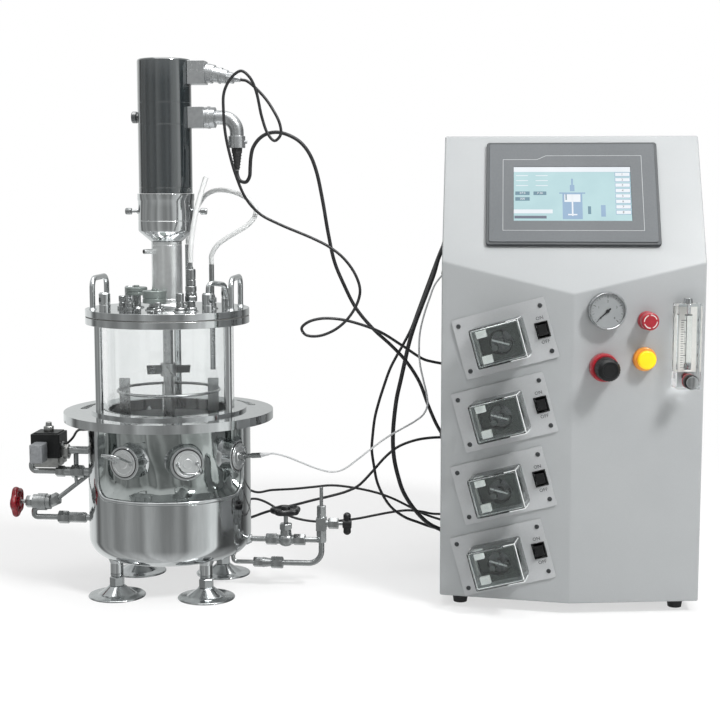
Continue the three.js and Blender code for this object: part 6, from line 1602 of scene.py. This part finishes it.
acrylic = clear("clear_acrylic", (0.93, 0.955, 0.955), 0.02, 1.49, 0.2, (0.89, 0.92, 0.92))
rot_x, rot_z = ROTAMETER_AT
MIDDLE, ROT_FRONT = -12.8, -25.3
block, bore = bmesh.new(), bmesh.new()
rounded_plate(block, 31, 110, 2, -0.3, ROT_FRONT, 5, moved(rot_x, 0, rot_z))
run(bore, "z", (rot_x, MIDDLE), (rot_z - 30.3, rot_z + 41, 4.8, 4.8, 40))
seat = bmesh.new()
run(seat, "y", (rot_x, rot_z - 44), (ROT_FRONT + 8, ROT_FRONT - 5, 3.4, 3.4, 32))
settle(
    carved(block, merged(bore, seat)), "rotameter_block", RIGHT, acrylic, instead=["rotameter"],
    edge=0.4,
)
fittings = bmesh.new()
run(
    fittings, "z", (rot_x, MIDDLE), (rot_z + 54.8, rot_z + 61, 6, 5.4, 32),
    (rot_z + 41.3, rot_z + 54.7, 2.6, 2.6, 24),
)
for drop in (-40, 40):
    run(fittings, "y", (rot_x, rot_z + drop), (-1, 16, 4.9, 4.9, 32))
settle(fittings, "rotameter_fittings", RIGHT, chrome, edge=0.3)
backing = bmesh.new()
tile(backing, (rot_x - 10, rot_z - 34), (rot_x + 13, rot_z + 50), -2.2, -2.6)
settle(backing, "rotameter_backing", RIGHT, ivory, edge=0)
guide = bmesh.new()
run(guide, "z", (rot_x, MIDDLE + 4.4), (rot_z - 30, rot_z + 40.8, 0.14, 0.14, 12))
run(guide, "z", (rot_x, MIDDLE), (rot_z + 39.3, rot_z + 40.9, 4.6, 4.6, 32))
settle(guide, "rotameter_guide", RIGHT, ink, edge=0)
scale = bmesh.new()
for step in range(21):
    z = rot_z - 26 + 3 * step
    tile(
        scale, (rot_x - 12, z - 0.35), (rot_x - (5.5 if step % 5 == 0 else 8.5), z + 0.35), ROT_FRONT + 0.1,
        ROT_FRONT - 0.08,
    )
settle(scale, "rotameter_marks", RIGHT, ink, edge=0)
figures = [(f"{i}", rot_x + 10, rot_z - 26 + 15 * i, ROT_FRONT - 0.02, 5.4) for i in range(5)]
lettering("rotameter_figures", figures, RIGHT, ink, relief=0.1)
settle(
    new_shape(
        turned, [(0, 0), (2.5, 0), (3.9, 5.6), (4, 6.4), (3.4, 6.6), (3.4, 7.2), (4, 7.4), (4, 9), (0, 9)], 48,
        place=moved(rot_x, MIDDLE, rot_z - 30),
    ),
    "float_bob", RIGHT, rotor_steel, body="rotameter_float", instead=["rotameter_float"], edge=0.1,
)
settle(
    new_shape(
        turned, [(3.4, 24.5), (9.5, 24.5), (9.5, 28.2), (3.4, 28.2)], 64, ring=True,
        place=moved(rot_x, 0, rot_z - 44) @ spun(90, "X"),
    ),
    "rotameter_collar", RIGHT, red_plastic, edge=0.2,
)
knob = bmesh.new()
turned(knob, [(0, -6), (3, -6), (3, 0.4), (9, 0.4), (9.5, 1), (9.5, 9), (8.7, 10.6), (0, 10.6)], 72)
for vert in knob.verts:
    if math.hypot(vert.co.x, vert.co.y) > 9.2 and vert.co.z > 0.9:
        shrink = 1 - 0.04 * (0.5 - 0.5 * math.cos(18 * math.atan2(vert.co.y, vert.co.x)))
        vert.co.x, vert.co.y = vert.co.x * shrink, vert.co.y * shrink
KNOB_BACK = 28.6
knob_at = on_face((rot_x, rot_z - 44)) @ moved(0, 0, KNOB_BACK)
settle(
    knob, "rotameter_grip", knob_at, black_moulding, body="rotameter_knob",
    instead=["rotameter_knob"], edge=0,
)
settle(
    new_shape(turned, [(0, 10.2), (8, 10.2), (8.2, 10.8), (7.8, 12.6), (7, 13), (0, 13)], 64), "rotameter_cap",
    knob_at, chrome, body="rotameter_knob", edge=0,
)

# The unit stands on a plain pale floor in soft studio light, with one softer
# key lamp from the upper right and a wide one overhead.
lamp = bpy.data.lights.new("overhead", "AREA")
lamp.shape, lamp.size, lamp.energy = "SQUARE", 2.4, 55
overhead = bpy.data.objects.new("overhead", lamp)
overhead.location = (0, -0.3, 3.0)
lamp = bpy.data.lights.new("key", "AREA")
lamp.shape, lamp.size, lamp.energy = "SQUARE", 1.1, 281
key = bpy.data.objects.new("key", lamp)
key.location = (3.08, -2.78, 4.71)
key.rotation_euler = (key.location - Vector((0.1, -0.1, 0.3))).to_track_quat("Z", "Y").to_euler()
for light in (overhead, key):
    scene.collection.objects.link(light)


def ramp(stops, tint, share):
    """A colour ramp of grey tones with one tint, read at a share."""
    made = node(world.node_tree, "ShaderNodeValToRGB", {"Fac": (share, "Result")})
    for place, tone in stops:
        ends = made.color_ramp.elements
        stop = ends[0 if place == 0 else -1] if place in (0, 1) else ends.new(place)
        stop.color = (*(tone * part for part in tint), 1)
    return made


world = bpy.data.worlds.new("studio")
scene.world = world
world.use_nodes = True
world.node_tree.nodes.clear()
# share of the way round, and tone
BANDS = (
    (0.0, 0.3), (0.025, 0.4), (0.053, 0.25), (0.082, 0.3), (0.11, 0.4), (0.139, 0.34), (0.167, 0.26), (0.192, 0.52),
    (0.224, 0.4), (0.253, 0.28), (0.282, 0.26), (0.31, 0.38), (0.339, 0.24), (0.367, 0.58), (0.396, 0.68),
    (0.428, 0.76), (0.442, 1.05), (0.47, 1.05), (0.481, 0.13), (0.51, 0.07), (0.567, 0.11), (0.63, 0.05),
    (0.66, 0.15), (0.69, 0.42), (0.75, 0.5), (0.828, 0.9), (0.912, 0.8), (0.93, 0.24), (0.945, 0.13), (0.969, 0.34),
    (1.0, 0.3),
)
sky = world.node_tree
rays = node(sky, "ShaderNodeLightPath")
soft = node(sky, "ShaderNodeBackground", {"Color": (1, 1, 1, 1), "Strength": 0.3})
plain = node(sky, "ShaderNodeBackground", {"Color": (1, 1, 1, 1)})
towards = node(sky, "ShaderNodeTexCoord")
split = node(sky, "ShaderNodeSeparateXYZ", {"Vector": (towards, "Generated")})
turn = node(sky, "ShaderNodeMath", {0: (split, "Y"), 1: (split, "X")}, operation="ARCTAN2")
full = node(sky, "ShaderNodeMapRange", {"From Min": -math.pi, "From Max": math.pi, "Value": (turn, 0)})
bands = ramp(BANDS, (0.97, 1, 0.995), full)
rising = node(sky, "ShaderNodeMapRange", {"From Min": -1, "Value": (split, "Z")})
height = ramp(((0.0, 0.6), (0.3, 0.03), (0.62, 0.0), (0.8, 0.85), (1.0, 1.0)), (1, 1, 1), rising)
wall = node(
    sky, "ShaderNodeMix", {"B": (0.82, 0.84, 0.84, 1), "Factor": (height, "Color"), "A": (bands, "Color")},
    data_type="RGBA",
)
banded = node(sky, "ShaderNodeBackground", {"Color": (wall, "Result")})
mirror = node(sky, "ShaderNodeMixShader", {"Fac": (rays, "Is Glossy Ray"), 1: (soft, 0), 2: (banded, 0)})
seen = node(
    sky, "ShaderNodeMath", {0: (rays, "Is Camera Ray"), 1: (rays, "Is Transmission Ray")}, operation="MAXIMUM",
)
last = node(sky, "ShaderNodeMixShader", {"Fac": (seen, 0), 1: (mirror, 0), 2: (plain, 0)})
node(sky, "ShaderNodeOutputWorld", {"Surface": (last, 0)})

ground = bmesh.new()
bmesh.ops.create_grid(ground, x_segments=1, y_segments=1, size=6)
mesh = bpy.data.meshes.new("floor")
ground.to_mesh(mesh)
ground.free()
floor = bpy.data.objects.new("floor", mesh)
scene.collection.objects.link(floor)
paper = bpy.data.materials.new("pale_floor")
paper.use_nodes = True
paper.node_tree.nodes.clear()
tree = paper.node_tree
matt = node(tree, "ShaderNodeBsdfDiffuse", {"Color": (0.9, 0.9, 0.9, 1)})
glow = node(tree, "ShaderNodeEmission")
rays = node(tree, "ShaderNodeLightPath")
most = node(
    tree, "ShaderNodeMath", {0: (rays, "Is Camera Ray"), 1: (rays, "Is Transmission Ray")}, operation="MAXIMUM",
)
spot = node(tree, "ShaderNodeTexCoord")
distance = node(tree, "ShaderNodeVectorMath", {0: (spot, "Object")}, operation="LENGTH")
fade = node(
    tree, "ShaderNodeMapRange",
    {"From Min": 0.45, "From Max": 1.3, "To Min": 0.62, "To Max": 1.0, "Value": (distance, "Value")},
    interpolation_type="SMOOTHSTEP",
)
share = node(tree, "ShaderNodeMath", {0: (most, 0), 1: (fade, "Result")}, operation="MULTIPLY")
mixed = node(tree, "ShaderNodeMixShader", {"Fac": (share, 0), 1: (matt, 0), 2: (glow, 0)})
unseen = node(tree, "ShaderNodeBsdfTransparent")
reflected = node(tree, "ShaderNodeMixShader", {"Fac": (rays, "Is Glossy Ray"), 1: (mixed, 0), 2: (unseen, 0)})
node(tree, "ShaderNodeOutputMaterial", {"Surface": (reflected, 0)})
floor.data.materials.append(paper)
